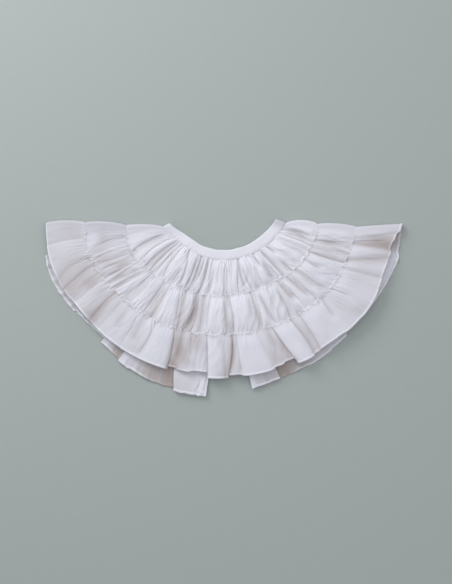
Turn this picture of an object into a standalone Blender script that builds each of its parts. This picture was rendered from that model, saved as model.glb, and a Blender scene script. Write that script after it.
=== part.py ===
"""Three-tier ruffle collar, laid flat with its front half on its back half. Metres, +Z up.

The collar is a neckband and three gathered tiers, open down the centre back. It is folded at the
shoulders, so the fold line runs along +X and the front half fans out from it towards -Y. The outer face
of the front half looks up, and the outer face of the back half lies on the table at Z = 0.
Sizes are in millimetres, and to_metres turns them into metres when a mesh is made.
"""

import math

import bpy
import numpy as np

# ---- driving sizes, in millimetres -------------------------------------------------------------------
CLOTH = 1.1  # wall of a tier
BAND = 2.4  # thickness of the neckband, several layers of cloth
BAND_EDGE = 0.5  # how far the neckband's edges round away
ROLLED_HEM = 2.0  # thickness of the rolled hem
ROLLED_HEM_WIDTH = 3.2
PLACKET = 1.7  # thickness of the hem turned back along the back opening
PLACKET_WIDTH = 6.0
SEAM_GAP = 0.3  # between pieces that are sewn together
SHOULDER = (0.8, 111.4)  # middle of the shoulder fold line, with the origin in the middle of the box
FOLD_Z = 4.2  # height at which the shoulder folds turn from the front half to the back half
FOLD_REACH = 3.6  # how far a shoulder fold rounds outwards
FOLD_STEPS = 4  # facets of the quarter round at each shoulder fold
FRONT_Z = 7.9  # middle of the front half's wall where it leaves a shoulder fold
RISE_RUN = 42.0  # the front half reaches its full height this far from a shoulder fold
CROWN_SHARE = 0.14  # how high a gather stands, as a share of its width
CROWN_MOST = 2.3
SIDE_SHARE = 0.55  # height of a gather beside its grooves, as a share of its crown
AT_SEAM = 0.45  # what is left of a gather's relief where a seam holds it
AT_HEM = 0.7  # what is left of it at the free hem
HIDDEN_RIDGE = 2.2  # height of the gathers in the back half where the front half covers them

# ---- plan of the collar ------------------------------------------------------------------------------
# Reach of each edge from the middle of the shoulder line. The angle runs from the left shoulder (0)
# through the centre front (90) to the right shoulder (180); lift is the height of the front hem.
SECTION_COLUMNS = ("angle", "neck", "band_foot", "seam_2", "seam_3", "hem", "back_hem", "lift")
SECTIONS = (
    (0, 71.0, 82.5, 128.5, 182.0, 235.5, 235.5, 7.0),
    (15, 54.0, 68.5, 127.5, 181.5, 233.5, 241.0, 6.8),
    (30, 45.5, 60.0, 118.5, 170.0, 223.0, 231.5, 6.8),
    (45, 41.5, 55.0, 108.5, 161.5, 217.0, 225.0, 7.0),
    (60, 38.0, 51.5, 102.0, 155.0, 211.0, 229.0, 7.4),
    (75, 36.5, 50.0, 97.5, 150.0, 206.0, 229.5, 7.6),
    (90, 35.5, 49.0, 96.0, 147.5, 204.0, 226.0, 7.6),
    (105, 36.5, 50.0, 95.5, 148.5, 203.5, 220.5, 8.0),
    (120, 38.0, 52.5, 98.0, 152.0, 208.0, 218.5, 9.0),
    (135, 42.0, 56.5, 104.5, 158.0, 215.5, 219.5, 10.4),
    (150, 47.0, 63.0, 113.0, 165.5, 221.5, 223.0, 11.6),
    (165, 54.5, 71.0, 119.5, 169.0, 223.0, 232.0, 10.4),
    (180, 65.5, 83.0, 125.0, 176.5, 235.5, 235.5, 7.6),
)
# Where each edge starts and ends on the shoulder folds, and where its back halves end at the back
# opening, as angles; height is that of the front half's wall there, clear of the shoulders.
EDGE_COLUMNS = ("edge", "start", "end", "slit_left", "slit_right", "height")
EDGES = (
    ("neck", 0.5, 184.4, 88.0, 92.5, 9.8),
    ("band_foot", 3.5, 179.6, 88.0, 92.5, 9.6),
    ("seam_2", 1.4, 179.3, 86.8, 96.5, 9.4),
    ("seam_3", -0.2, 178.3, 85.4, 98.4, 8.6),
    ("hem", -0.1, 179.8, 84.2, 99.8, 0.0),
)
# Each tier between its two edges: puff is how much its middle stands above them, and scallop how far
# it bulges out of the shoulder line. Rows are the places of the wall's cross rows, from top to foot.
TIER_COLUMNS = ("tier", "upper", "lower", "puff", "scallop_left", "scallop_right", "rows", "back_rows")
TIERS = (
    ("tier_1", "band_foot", "seam_2", 2.8, 2.4, 5.2, (0, 0.22, 0.48, 0.75, 1), (0, 0.35, 0.7, 1)),
    ("tier_2", "seam_2", "seam_3", 2.6, 3.4, 3.0, (0, 0.22, 0.48, 0.75, 1), (0, 0.35, 0.7, 1)),
    ("tier_3", "seam_3", "hem", 1.4, 3.2, 0.6, (0, 0.22, 0.48, 0.75), (0, 0.4, 0.75)),
)

# ---- gathers of the front half -----------------------------------------------------------------------
# One row for each groove between two gathers. top, mid and foot are its places along the tier's run, in
# hundredths from the left shoulder fold; depth and half_width are in millimetres; it shows from start
# to end of the tier's height. rise lifts the gather on its right, and drop lengthens that gather's hem.
FOLD_COLUMNS = ("top", "mid", "foot", "depth", "half_width", "start", "end", "rise", "drop")
FRONT_FOLDS = {
    "tier_1": (
        (1.5, 1.7, 2.0, 0.8, 1.5, 0.30, 1.00, 0, 0),
        (2.6, 3.0, 3.8, 1.0, 1.5, 0.40, 1.00, 0, 0),
        (5.6, 7.7, 10.0, 2.6, 2.2, 0.28, 1.00, 0, 0),
        (9.6, 11.8, 15.8, 1.4, 1.2, 0.05, 1.00, 0, 0),
        (13.3, 16.1, 18.3, 3.0, 2.4, 0.05, 1.00, 0, 0),
        (14.9, 18.1, 20.5, 2.4, 2.2, 0.10, 0.95, -0.3, 0),
        (16.7, 19.7, 23.2, 1.7, 1.5, 0.05, 0.85, 0, 0),
        (19.0, 21.9, 26.0, 1.6, 1.2, 0.05, 0.90, 0.3, 0),
        (21.6, 27.3, 29.8, 1.2, 3.0, 0.60, 1.00, 0, 0),
        (24.0, 31.0, 32.4, 2.6, 1.4, 0.05, 1.00, 0, 0),
        (30.8, 34.4, 35.7, 2.2, 1.4, 0.00, 1.00, -0.3, 0),
        (32.4, 36.3, 37.0, 2.8, 1.4, 0.05, 1.00, 0, 0),
        (35.6, 38.2, 39.2, 1.4, 1.2, 0.15, 0.50, 0, 0),
        (38.2, 40.9, 41.2, 2.8, 1.8, 0.10, 1.00, 0, 0),
        (41.0, 43.6, 45.0, 1.6, 1.2, 0.00, 0.90, 0, 0),
        (43.7, 45.2, 46.8, 0.9, 1.2, 0.35, 0.70, 0, 0),
        (46.2, 47.2, 48.5, 0.9, 1.1, 0.05, 0.65, 0, 0),
        (50.0, 50.5, 51.0, 1.8, 1.1, 0.05, 1.00, 0, 0),
        (51.5, 51.8, 52.2, 2.0, 1.1, 0.30, 1.00, 0, 0),
        (53.2, 54.0, 54.6, 0.9, 1.4, 0.05, 0.35, 0, 0),
        (56.4, 57.0, 56.9, 1.5, 1.4, 0.10, 1.00, 0, 0),
        (58.4, 59.2, 60.0, 1.8, 1.3, 0.00, 0.80, 0, 0),
        (59.9, 60.9, 62.5, 1.9, 1.3, 0.30, 1.00, 0, 0),
        (62.4, 63.4, 64.6, 0.9, 1.6, 0.05, 0.35, 0, 0),
        (65.8, 66.7, 66.4, 1.3, 1.4, 0.10, 1.00, 0, 0),
        (69.4, 70.0, 70.4, 2.0, 1.6, 0.00, 0.90, 0, 0),
        (71.6, 72.0, 72.2, 1.2, 1.6, 0.45, 0.85, 0, 0),
        (74.5, 75.0, 75.2, 2.3, 1.5, 0.08, 1.00, 0, 0),
        (78.6, 78.9, 79.5, 1.7, 1.7, 0.00, 1.00, 0, 0),
        (81.2, 82.0, 82.6, 0.9, 2.0, 0.35, 0.75, 0, 0),
        (85.6, 86.4, 86.8, 1.0, 2.2, 0.35, 0.90, 0, 0),
        (88.6, 89.3, 89.9, 1.1, 1.6, 0.15, 1.00, 0, 0),
        (91.1, 91.4, 91.9, 1.5, 1.3, 0.30, 1.00, 0, 0),
        (92.8, 93.0, 93.4, 1.4, 1.2, 0.35, 1.00, 0, 0),
        (96.1, 95.6, 95.2, 3.0, 2.6, 0.12, 0.90, 0, 0),
        (98.1, 98.2, 98.3, 0.8, 1.2, 0.60, 1.00, 0, 0),
    ),
    "tier_2": (
        (1.3, 2.4, 3.1, 1.4, 3.2, 0.25, 0.75, 0, 0),
        (6.8, 7.2, 8.2, 1.2, 2.5, 0.45, 1.00, 0, 0),
        (10.6, 11.3, 11.0, 1.8, 3.0, 0.00, 1.00, 0, 0),
        (12.9, 14.1, 15.0, 2.8, 2.6, 0.15, 0.95, 0, 0),
        (15.0, 16.8, 17.4, 2.2, 2.4, 0.00, 0.70, 0, 0),
        (18.0, 19.1, 19.4, 2.0, 2.2, 0.10, 0.95, 0, 0),
        (20.9, 22.6, 22.6, 2.6, 2.6, 0.00, 1.00, 0, 0),
        (24.0, 24.9, 25.2, 0.8, 2.5, 0.20, 1.00, 0, 0),
        (26.4, 28.3, 29.4, 2.2, 1.8, 0.00, 1.00, 0, 0),
        (28.8, 30.2, 31.4, 1.8, 2.2, 0.10, 1.00, 0.4, 0),
        (33.2, 36.2, 37.6, 2.0, 1.8, 0.05, 0.70, 0, 0),
        (35.6, 38.2, 39.3, 2.8, 2.0, 0.00, 1.00, -0.4, 0),
        (40.2, 41.7, 41.3, 3.4, 3.2, 0.00, 1.00, 0, 0),
        (43.5, 44.5, 45.0, 2.6, 2.0, 0.05, 0.85, 0, 0),
        (45.7, 46.4, 46.9, 0.8, 1.6, 0.20, 0.80, 0.3, 0),
        (51.0, 52.0, 52.0, 2.8, 1.8, 0.00, 1.00, -0.5, 0),
        (52.9, 54.0, 54.2, 2.0, 1.8, 0.10, 1.00, 0.4, 0),
        (59.4, 59.7, 59.2, 1.0, 2.2, 0.30, 0.90, 0, 0),
        (61.9, 61.8, 61.1, 2.2, 2.0, 0.00, 1.00, 0, 0),
        (64.0, 64.8, 65.5, 1.6, 1.8, 0.20, 0.85, 0, 0),
        (67.2, 67.3, 67.3, 0.9, 2.2, 0.00, 0.80, 0, 0),
        (69.9, 70.1, 69.8, 2.0, 2.0, 0.30, 1.00, 0, 0),
        (71.9, 72.8, 73.4, 1.5, 2.8, 0.10, 0.60, 0, 0),
        (76.0, 76.7, 77.2, 1.7, 2.2, 0.05, 0.90, 0, 0),
        (80.9, 81.1, 82.0, 1.7, 2.6, 0.00, 1.00, 0, 0),
        (85.6, 85.5, 86.0, 1.5, 1.6, 0.00, 0.50, 0, 0),
        (88.9, 89.6, 90.3, 2.6, 1.8, 0.00, 1.00, 0, 0),
        (92.5, 93.4, 94.4, 2.4, 2.4, 0.05, 1.00, 0, 0),
        (95.1, 96.0, 96.9, 2.0, 1.8, 0.10, 1.00, 0, 0),
    ),
    "tier_3": (
        (1.6, 1.8, 2.0, 0.9, 4.0, 0.05, 0.50, 0, -1.5),
        (8.4, 9.0, 11.4, 2.2, 4.0, 0.05, 1.00, 0, -3.0),
        (10.8, 12.2, 13.4, 1.8, 2.6, 0.00, 0.70, 0, -3.0),
        (13.3, 14.7, 15.2, 1.8, 2.8, 0.00, 1.00, 0, -2.5),
        (17.2, 17.5, 18.0, 1.0, 4.0, 0.05, 0.60, 0, -1.0),
        (20.1, 20.7, 21.5, 3.2, 3.0, 0.00, 1.00, 0, -1.0),
        (23.4, 23.8, 24.0, 0.9, 3.2, 0.10, 0.80, 0, -2.0),
        (26.0, 26.2, 26.4, 1.2, 2.6, 0.00, 0.80, 0, -3.0),
        (29.2, 29.6, 29.8, 1.6, 3.0, 0.05, 0.80, 0, -4.8),
        (32.8, 33.2, 32.4, 1.6, 2.6, 0.00, 1.00, 0.6, -1.5),
        (38.7, 39.2, 39.1, 3.0, 2.0, 0.00, 1.00, -2.0, -4.0),
        (40.5, 40.8, 40.7, 3.5, 2.0, 0.00, 1.00, -1.0, -5.5),
        (43.2, 43.6, 44.0, 1.2, 2.2, 0.00, 0.50, -1.0, -7.0),
        (47.0, 47.4, 47.4, 2.6, 1.4, 0.10, 1.00, 0.6, -1.5),
        (52.7, 52.3, 51.4, 3.2, 2.2, 0.00, 1.00, -1.0, -4.5),
        (54.2, 53.9, 53.6, 2.2, 1.6, 0.00, 0.80, 0.6, -0.5),
        (60.2, 60.8, 61.0, 1.8, 2.4, 0.05, 1.00, -0.8, -2.5),
        (62.4, 62.8, 63.2, 1.0, 2.4, 0.10, 0.40, -0.8, -5.5),
        (64.1, 64.3, 65.0, 2.8, 1.5, 0.00, 1.00, 1.0, 3.0),
        (69.4, 69.3, 68.8, 2.8, 2.0, 0.00, 1.00, -0.8, 0),
        (71.8, 71.2, 70.5, 2.2, 2.0, 0.20, 1.00, 0.6, -2.5),
        (78.2, 77.0, 76.4, 1.4, 2.6, 0.02, 0.40, 0, -1.0),
        (80.4, 80.2, 80.2, 1.4, 3.0, 0.00, 1.00, 0, 0.5),
        (82.6, 82.9, 83.4, 1.3, 2.0, 0.05, 0.55, 0, 1.0),
        (86.4, 86.6, 86.6, 1.0, 2.8, 0.40, 1.00, 0, -0.5),
        (88.6, 88.6, 88.8, 1.4, 2.0, 0.00, 0.60, 0, -1.2),
        (90.9, 92.0, 93.0, 2.4, 2.4, 0.00, 1.00, 0, -0.5),
        (95.4, 95.2, 95.0, 3.0, 3.4, 0.00, 1.00, 0, 0),
        (97.2, 97.5, 97.7, 1.6, 2.6, 0.20, 1.00, 0.3, 1.0),
    ),
}

# ---- gathers of the back half ------------------------------------------------------------------------
# The tiers under the front half are gathered evenly, by the number of grooves in BACK_GATHERS. The two
# halves of tier 3 show below the front hem, so each of their gathers has a row, counted from the
# shoulder fold in hundredths: place is its groove at the hem, ridge the height of the gather after it,
# and drop lengthens that gather's hem.
BACK_GATHERS = {"tier_1": 12, "tier_2": 11}
BACK_FOLD_COLUMNS = ("place", "ridge", "drop")
BACK_FOLDS = {
    "left": (
        (6.0, 1.6, 0.0),
        (15.0, 2.2, 0.0),
        (25.0, 2.4, -1.5),
        (36.0, 2.0, -2.5),
        (45.0, 2.6, -1.0),
        (52.5, 2.6, 2.5),
        (62.5, 3.2, 1.5),
        (74.0, 2.2, 0.0),
        (86.8, 3.0, 2.5),
        (95.5, 1.4, 2.5),
    ),
    "right": (
        (7.0, 1.8, 0.0),
        (17.0, 2.4, 0.0),
        (28.0, 2.2, -2.0),
        (40.0, 2.4, -1.0),
        (51.0, 2.2, 1.0),
        (58.5, 2.8, 1.5),
        (70.0, 2.4, 0.5),
        (79.0, 2.8, 0.0),
        (87.5, 2.4, 1.5),
        (94.5, 2.0, 2.0),
    ),
}

# ---- fastening at the centre back --------------------------------------------------------------------
BUTTON_RADIUS = 5.0
BUTTON_THICKNESS = 1.8
SHANK_RADIUS = 0.9
LOOP_THREAD = 1.0  # diameter of the thread loop
LOOP_BEND = 2.6  # radius of the loop round the shank
BUTTON_INSET = 6.5  # from the right end of the neckband
END_LIFT = 4.0  # the buttoned end of the neckband stands on its button
END_LIFT_RUN = 26.0

COLOURS = {
    "cloth": (0.84, 0.84, 0.88, 1.0),
    "band": (0.87, 0.87, 0.91, 1.0),
    "button": (0.90, 0.89, 0.86, 1.0),
    "thread": (0.88, 0.88, 0.90, 1.0),
}


# ---- helpers -----------------------------------------------------------------------------------------
def clear_scene():
    for thing in list(bpy.data.objects):
        bpy.data.objects.remove(thing, do_unlink=True)


def column(rows, names, name):
    """One named column of a table, as an array of numbers."""
    return np.array([row[names.index(name)] for row in rows], float)


def row_of(rows, names, key):
    """The row whose first cell is key, as a dictionary."""
    return next(dict(zip(names, row)) for row in rows if row[0] == key)


def through(places, values, at):
    """A smooth curve through evenly spaced table values: a cubic with each value's slope."""
    slope = np.gradient(values, places)
    at = np.asarray(at, float)
    i = np.clip(np.searchsorted(places, at, side="right") - 1, 0, len(places) - 2)
    step = places[i + 1] - places[i]
    u = (at - places[i]) / step
    start = (2 * u**3 - 3 * u**2 + 1) * values[i] + (u**3 - 2 * u**2 + u) * step * slope[i]
    finish = (3 * u**2 - 2 * u**3) * values[i + 1] + (u**3 - u**2) * step * slope[i + 1]
    return start + finish


def ease(x):
    """0 to 1 with a soft start and a soft finish."""
    x = np.clip(x, 0, 1)
    return x * x * (3 - 2 * x)


def between(start, finish, share):
    return start + (finish - start) * share


class Rail:
    """One edge of the collar in plan, read by the share of its length from first to last angle."""

    SAMPLES = 500

    def __init__(self, reach_at, first, last):
        self.angles = np.linspace(first, last, self.SAMPLES)
        turn = np.radians(self.angles)
        reach = reach_at(self.angles)
        self.points = np.stack([SHOULDER[0] - reach * np.cos(turn), SHOULDER[1] - reach * np.sin(turn)], 1)
        steps = np.linalg.norm(np.diff(self.points, axis=0), axis=1)
        self.along = np.concatenate([[0], np.cumsum(steps)])
        self.length = self.along[-1]

    def at(self, share):
        where = np.asarray(share) * self.length
        return np.stack([np.interp(where, self.along, self.points[:, k]) for k in (0, 1)], -1)

    def angle(self, share):
        return np.interp(np.asarray(share) * self.length, self.along, self.angles)


def front_reach(edge):
    """A column of SECTIONS as a smooth curve over the angle."""
    places = column(SECTIONS, SECTION_COLUMNS, "angle")
    values = column(SECTIONS, SECTION_COLUMNS, edge)
    return lambda at: through(places, values, at)


def back_reach(edge):
    """The back half's edges keep their share of the way from the neckband to the longer back hem."""
    foot, hem, long_hem = front_reach("band_foot"), front_reach("hem"), front_reach("back_hem")

    def reach(at):
        if edge == "neck":
            return front_reach(edge)(at)
        share = (front_reach(edge)(at) - foot(at)) / (hem(at) - foot(at))
        return between(foot(at), long_hem(at), share)

    return reach


def rail_of(edge, half):
    """The rail of an edge of one half: front, left or right. Each starts on a shoulder fold."""
    facts = row_of(EDGES, EDGE_COLUMNS, edge)
    if half == "front":
        return Rail(front_reach(edge), facts["start"], facts["end"])
    if half == "left":
        return Rail(back_reach(edge), facts["start"], facts["slit_left"])
    return Rail(back_reach(edge), facts["end"], facts["slit_right"])


def plan_between(upper, lower, share, height, drop=0.0):
    """Points in plan at each share of the run and height of a tier, clear of the seams on both sides."""
    top, foot = upper.at(share), lower.at(share)
    length = np.linalg.norm(foot - top, axis=-1)
    inset = SEAM_GAP / 2 / length
    height = between(inset, 1 - inset, height) + height * drop / length
    return top + (foot - top) * height[..., None]


def wall(name, outer, inner, colour):
    """A closed wall between two grids of points, shaped (rows, columns, 3), in millimetres."""
    rows, columns = outer.shape[:2]
    count = rows * columns
    index = np.arange(count).reshape(rows, columns)
    faces = []

    def skin(start, flip):
        for i in range(rows - 1):
            for j in range(columns - 1):
                quad = [index[i, j], index[i, j + 1], index[i + 1, j + 1], index[i + 1, j]]
                faces.append([start + k for k in (quad[::-1] if flip else quad)])

    skin(0, False)
    skin(count, True)
    ring = np.concatenate([index[0, :-1], index[:-1, -1], index[-1, :0:-1], index[:0:-1, 0]])
    for a, b in zip(ring, np.roll(ring, -1)):
        faces.append([b, a, a + count, b + count])
    points = np.concatenate([outer.reshape(-1, 3), inner.reshape(-1, 3)])
    if volume_of(points, faces) < 0:
        faces = [face[::-1] for face in faces]
    return node(name, points, faces, colour)


def volume_of(points, faces):
    """Six times the signed volume inside quads, each taken as two triangles."""
    quads = points[np.array(faces)]
    a, b, c, d = (quads[:, k] for k in range(4))
    return (a * np.cross(b, c)).sum() + (a * np.cross(c, d)).sum()


def material(name):
    made = bpy.data.materials.get(name)
    if made is None:
        made = bpy.data.materials.new(name)
        made.use_nodes = True
        shader = made.node_tree.nodes["Principled BSDF"]
        shader.inputs["Base Color"].default_value = COLOURS[name]
        shader.inputs["Roughness"].default_value = 0.35 if name == "button" else 0.9
        shader.inputs["Metallic"].default_value = 0.0
    return made


def node(name, points, faces, colour):
    """One named object, from points in millimetres."""
    mesh = bpy.data.meshes.new(name)
    mesh.from_pydata((np.asarray(points) * 0.001).tolist(), [], [[int(k) for k in f] for f in faces])
    mesh.update()
    mesh.shade_smooth()
    mesh.set_sharp_from_angle(angle=math.radians(50))
    thing = bpy.data.objects.new(name, mesh)
    bpy.context.scene.collection.objects.link(thing)
    thing.data.materials.append(material(colour))
    return thing


# ---- gathers -----------------------------------------------------------------------------------------
def groove_place(folds, height):
    """Each groove's place along the run at a height: the parabola through its top, mid and foot."""
    top, mid, foot = (folds[name] / 100 for name in ("top", "mid", "foot"))
    return (
        top * (1 - height) * (1 - 2 * height)
        + mid * 4 * height * (1 - height)
        + foot * height * (2 * height - 1)
    )


def held(height, free_foot=False):
    """What is left of the relief at a height of a tier: all of it in the middle, less at its edges."""
    foot = AT_HEM if free_foot else AT_SEAM
    top = between(AT_SEAM, 1, ease(height / 0.4))
    return top * between(1, foot, ease((height - 0.6) / 0.4))


def showing(folds, height):
    """How much of each groove shows at a height: none past its start or end."""
    soft = 0.12
    opened = np.where(folds["start"] < 0.01, 1, ease((height - folds["start"] + soft) / soft))
    closed = np.where(folds["end"] > 0.99, 1, ease((folds["end"] + soft - height) / soft))
    return opened * closed


def fold_table(rows, names):
    return {name: column(rows, names, name) for name in names}


def front_columns(folds, height, length):
    """The columns of one cross row: share of the run, height over the base, and hem drop, in order.

    A gather has a column on its crown, and a groove has one on each side and one in its bottom.
    """
    groove = groove_place(folds, height)
    shown = showing(folds, height)
    edges = np.concatenate([[0], groove, [1]])
    gap = np.diff(edges) * length
    rise = np.concatenate([[0], folds["rise"]])
    drop = np.concatenate([folds["drop"][:1], folds["drop"]])
    crown = np.minimum(CROWN_MOST, CROWN_SHARE * gap)
    side = np.minimum(folds["half_width"], 0.3 * np.minimum(gap[:-1], gap[1:])) / length
    unfolded = (crown[:-1] + crown[1:] + rise[:-1] + rise[1:]) / 2
    beside = SIDE_SHARE * crown + rise
    shares, heights, drops = (np.empty(4 * len(groove) + 1) for _ in range(3))
    shares[0::4], heights[0::4], drops[0::4] = (edges[:-1] + edges[1:]) / 2, crown + rise, drop
    shares[1::4], heights[1::4], drops[1::4] = groove - side, between(unfolded, beside[:-1], shown), drop[:-1]
    shares[2::4], heights[2::4] = groove, between(unfolded, -folds["depth"], shown)
    drops[2::4] = (drop[:-1] + drop[1:]) / 2
    shares[3::4], heights[3::4], drops[3::4] = groove + side, between(unfolded, beside[1:], shown), drop[1:]
    return shares, heights, drops


def front_base(upper, lower, puff, rails, share, height):
    """Height of the middle of the front half's wall, before its gathers."""
    upper_z = row_of(EDGES, EDGE_COLUMNS, upper)["height"]
    if lower == "hem":
        lower_z = front_reach("lift")(rails[1].angle(share))
    else:
        lower_z = row_of(EDGES, EDGE_COLUMNS, lower)["height"]
    length = between(rails[0].length, rails[1].length, height)
    from_fold = np.minimum(share, 1 - share) * length
    full = between(upper_z, lower_z, height) + puff * 4 * height * (1 - height)
    return between(FRONT_Z, full, ease(from_fold / RISE_RUN))


def wall_depth(middle):
    """How deep a wall of the cloth's thickness is, measured straight down, where it slopes."""
    along = np.gradient(middle, axis=1)
    down = np.gradient(middle, axis=0)
    normal = np.cross(along, down)
    upright = np.abs(normal[..., 2]) / np.linalg.norm(normal, axis=-1)
    return 1 / np.maximum(upright, 0.66)


def quarter_round(flat_point, flat_z, turned_z, thickness):
    """The columns of a shoulder fold, from its outermost line to where the wall lies flat.

    flat_point is the plan point where it lies flat. It returns the wall's outer and inner points.
    """
    turn = np.radians(np.linspace(0, 90, FOLD_STEPS + 1)[:-1])
    sign = math.copysign(1, flat_z - turned_z)
    middle = np.stack(
        [
            np.full_like(turn, flat_point[0]),
            flat_point[1] + FOLD_REACH * np.cos(turn),
            turned_z + (flat_z - turned_z) * np.sin(turn),
        ],
        1,
    )
    normal = np.stack([0 * turn, np.cos(turn), sign * np.sin(turn)], 1)
    return middle + normal * thickness / 2, middle - normal * thickness / 2


def with_folds(outer, inner, both_ends, turned_z):
    """Adds a quarter round to the first end of each row, or to both ends."""
    made_outer, made_inner = [], []
    for outside, inside in zip(outer, inner):
        parts_outer, parts_inner = [outside], [inside]
        for end in (0, -1) if both_ends else (0,):
            middle = (outside[end] + inside[end]) / 2
            thickness = abs(outside[end][2] - inside[end][2])
            out, into = quarter_round(middle[:2], middle[2], turned_z, thickness)
            if end == 0:
                parts_outer.insert(0, out)
                parts_inner.insert(0, into)
            else:
                parts_outer.append(out[::-1])
                parts_inner.append(into[::-1])
        made_outer.append(np.concatenate(parts_outer))
        made_inner.append(np.concatenate(parts_inner))
    return np.array(made_outer), np.array(made_inner)


def run_share(share, length, both_ends):
    """Keeps the shoulder folds' own reach free at the ends of a run."""
    start = FOLD_REACH / length
    return between(start, 1 - start if both_ends else 1.0, share)


def scallop_of(tier, share, height, length, both_ends, half):
    """How far a tier bulges out of the shoulder line, near its shoulder folds."""
    left = tier["scallop_left"] * np.exp(-((share * length / 28) ** 2))
    right = tier["scallop_right"] * np.exp(-(((1 - share) * length / 28) ** 2))
    if half == "front":
        return (left + right) * np.sin(math.pi * height)
    near = np.exp(-((share * length / 28) ** 2))
    bulge = tier["scallop_left"] if half == "left" else tier["scallop_right"]
    return bulge * near * np.sin(math.pi * height)


# ---- tiers -------------------------------------------------------------------------------------------
def hem_rows(rows, tier, rails):
    """Cross rows of a tier with their wall's thickness: the last tier ends in a rolled hem."""
    if tier["lower"] != "hem":
        return [(height, CLOTH) for height in rows]
    middle = np.array([0.5])
    length = np.linalg.norm(rails[1].at(middle) - rails[0].at(middle))
    hem = 1 - ROLLED_HEM_WIDTH / length
    return [(height, CLOTH) for height in rows] + [(hem - 0.012, CLOTH), (hem, ROLLED_HEM), (1.0, ROLLED_HEM)]


def front_tier(tier):
    rails = rail_of(tier["upper"], "front"), rail_of(tier["lower"], "front")
    folds = fold_table(FRONT_FOLDS[tier["tier"]], FOLD_COLUMNS)
    middles, thicknesses = [], []
    for height, thickness in hem_rows(tier["rows"], tier, rails):
        length = between(rails[0].length, rails[1].length, height)
        share, lift, drop = front_columns(folds, height, length)
        run = run_share(np.concatenate([[0], share, [1]]), length, True)
        lift = np.concatenate([[0], lift * held(height, tier["lower"] == "hem"), [0]])
        drop = np.concatenate([drop[:1], drop, drop[-1:]])
        heights = np.full_like(run, height)
        plan = plan_between(*rails, run, heights, drop)
        plan[:, 1] += scallop_of(tier, run, heights, length, True, "front")
        z = front_base(tier["upper"], tier["lower"], tier["puff"], rails, run, height) + lift
        middles.append(np.column_stack([plan, z]))
        thicknesses.append(thickness)
    middle = np.array(middles)
    depth = np.array(thicknesses)[:, None] * wall_depth(middle)
    half = np.zeros_like(middle)
    half[..., 2] = depth / 2
    outer, inner = with_folds(middle + half, middle - half, True, FOLD_Z + SEAM_GAP / 2)
    return wall(tier["tier"] + "_front", outer, inner, "cloth")


def even_folds(count):
    """Rows like BACK_FOLDS for a hidden tier: even gathers that wander a little."""
    rows = []
    for k in range(count):
        wander = math.sin(2.4 * k + 0.7)
        place = 100 * (k + 0.8 + 0.22 * wander) / (count + 0.6)
        rows.append((place, HIDDEN_RIDGE + 0.4 * math.sin(4.1 * k), 0.0))
    return rows


def back_columns(folds):
    """Share of the run, height off the table and hem drop: rounded gathers, flat between them.

    A gather has a column at each foot and on its crown, and the flat between two has one in the middle.
    """
    edges = np.concatenate([[0], folds["place"] / 100, [1]])
    ridge = np.concatenate([[1.0], folds["ridge"]])
    drop = np.concatenate([[0], folds["drop"]])
    gap = np.diff(edges)
    shares, heights, drops = (np.zeros(4 * len(gap) - 1) for _ in range(3))
    for start, share, lift in ((0, 0.24, 0), (1, 0.5, 1), (2, 0.76, 0)):
        shares[start::4], heights[start::4], drops[start::4] = edges[:-1] + share * gap, lift * ridge, drop
    shares[3::4], drops[3::4] = edges[1:-1], (drop[:-1] + drop[1:]) / 2
    return shares, heights, drops


def end_lift(run, length):
    """Height of the neckband's right end at the back, which stands on its button."""
    return END_LIFT * ease(1 + ((run - 1) * length + BUTTON_INSET) / END_LIFT_RUN)


def back_tier(tier, half):
    rails = rail_of(tier["upper"], half), rail_of(tier["lower"], half)
    last = tier["lower"] == "hem"
    rows = BACK_FOLDS[half] if last else even_folds(BACK_GATHERS[tier["tier"]])
    shares, lifts, drops = back_columns(fold_table(rows, BACK_FOLD_COLUMNS))
    outer, inner = [], []
    for height, thickness in hem_rows(tier["back_rows"], tier, rails):
        length = between(rails[0].length, rails[1].length, height)
        placket = 1 - PLACKET_WIDTH / length
        crease = placket - 0.8 / length
        run = run_share(np.concatenate([[0], shares * crease, [crease, placket, 1]]), length, False)
        lift = np.concatenate([[0], lifts, [0, 0, 0]])
        lift *= between(AT_SEAM, 1, height) if last else held(height)
        if tier["tier"] == "tier_1" and half == "right":
            lift += end_lift(run, length) * (1 - height) ** 2
        drop = np.concatenate([[0], drops, [drops[-1]] * 3])
        heights = np.full_like(run, height)
        plan = plan_between(*rails, run, heights, drop)
        plan[:, 1] += scallop_of(tier, run, heights, length, False, half)
        walls = np.full_like(run, thickness)
        walls[-2:] = max(thickness, PLACKET)
        outer.append(np.column_stack([plan, lift]))
        inner.append(np.column_stack([plan, lift + walls]))
    outer, inner = np.array(outer), np.array(inner)
    slope = wall_depth(outer)
    slope[:, 0] = 1
    inner[..., 2] = outer[..., 2] + (inner[..., 2] - outer[..., 2]) * slope
    outer, inner = with_folds(outer, inner, False, FOLD_Z - SEAM_GAP / 2)
    return wall(f"{tier['tier']}_back_{half}", outer, inner, "cloth")


# ---- neckband ----------------------------------------------------------------------------------------
BAND_ROWS = ((0.0, BAND_EDGE), (0.14, 0.0), (0.86, 0.0), (1.0, BAND_EDGE))
BAND_COLUMNS = {"front": 44, "left": 24, "right": 24}


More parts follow.
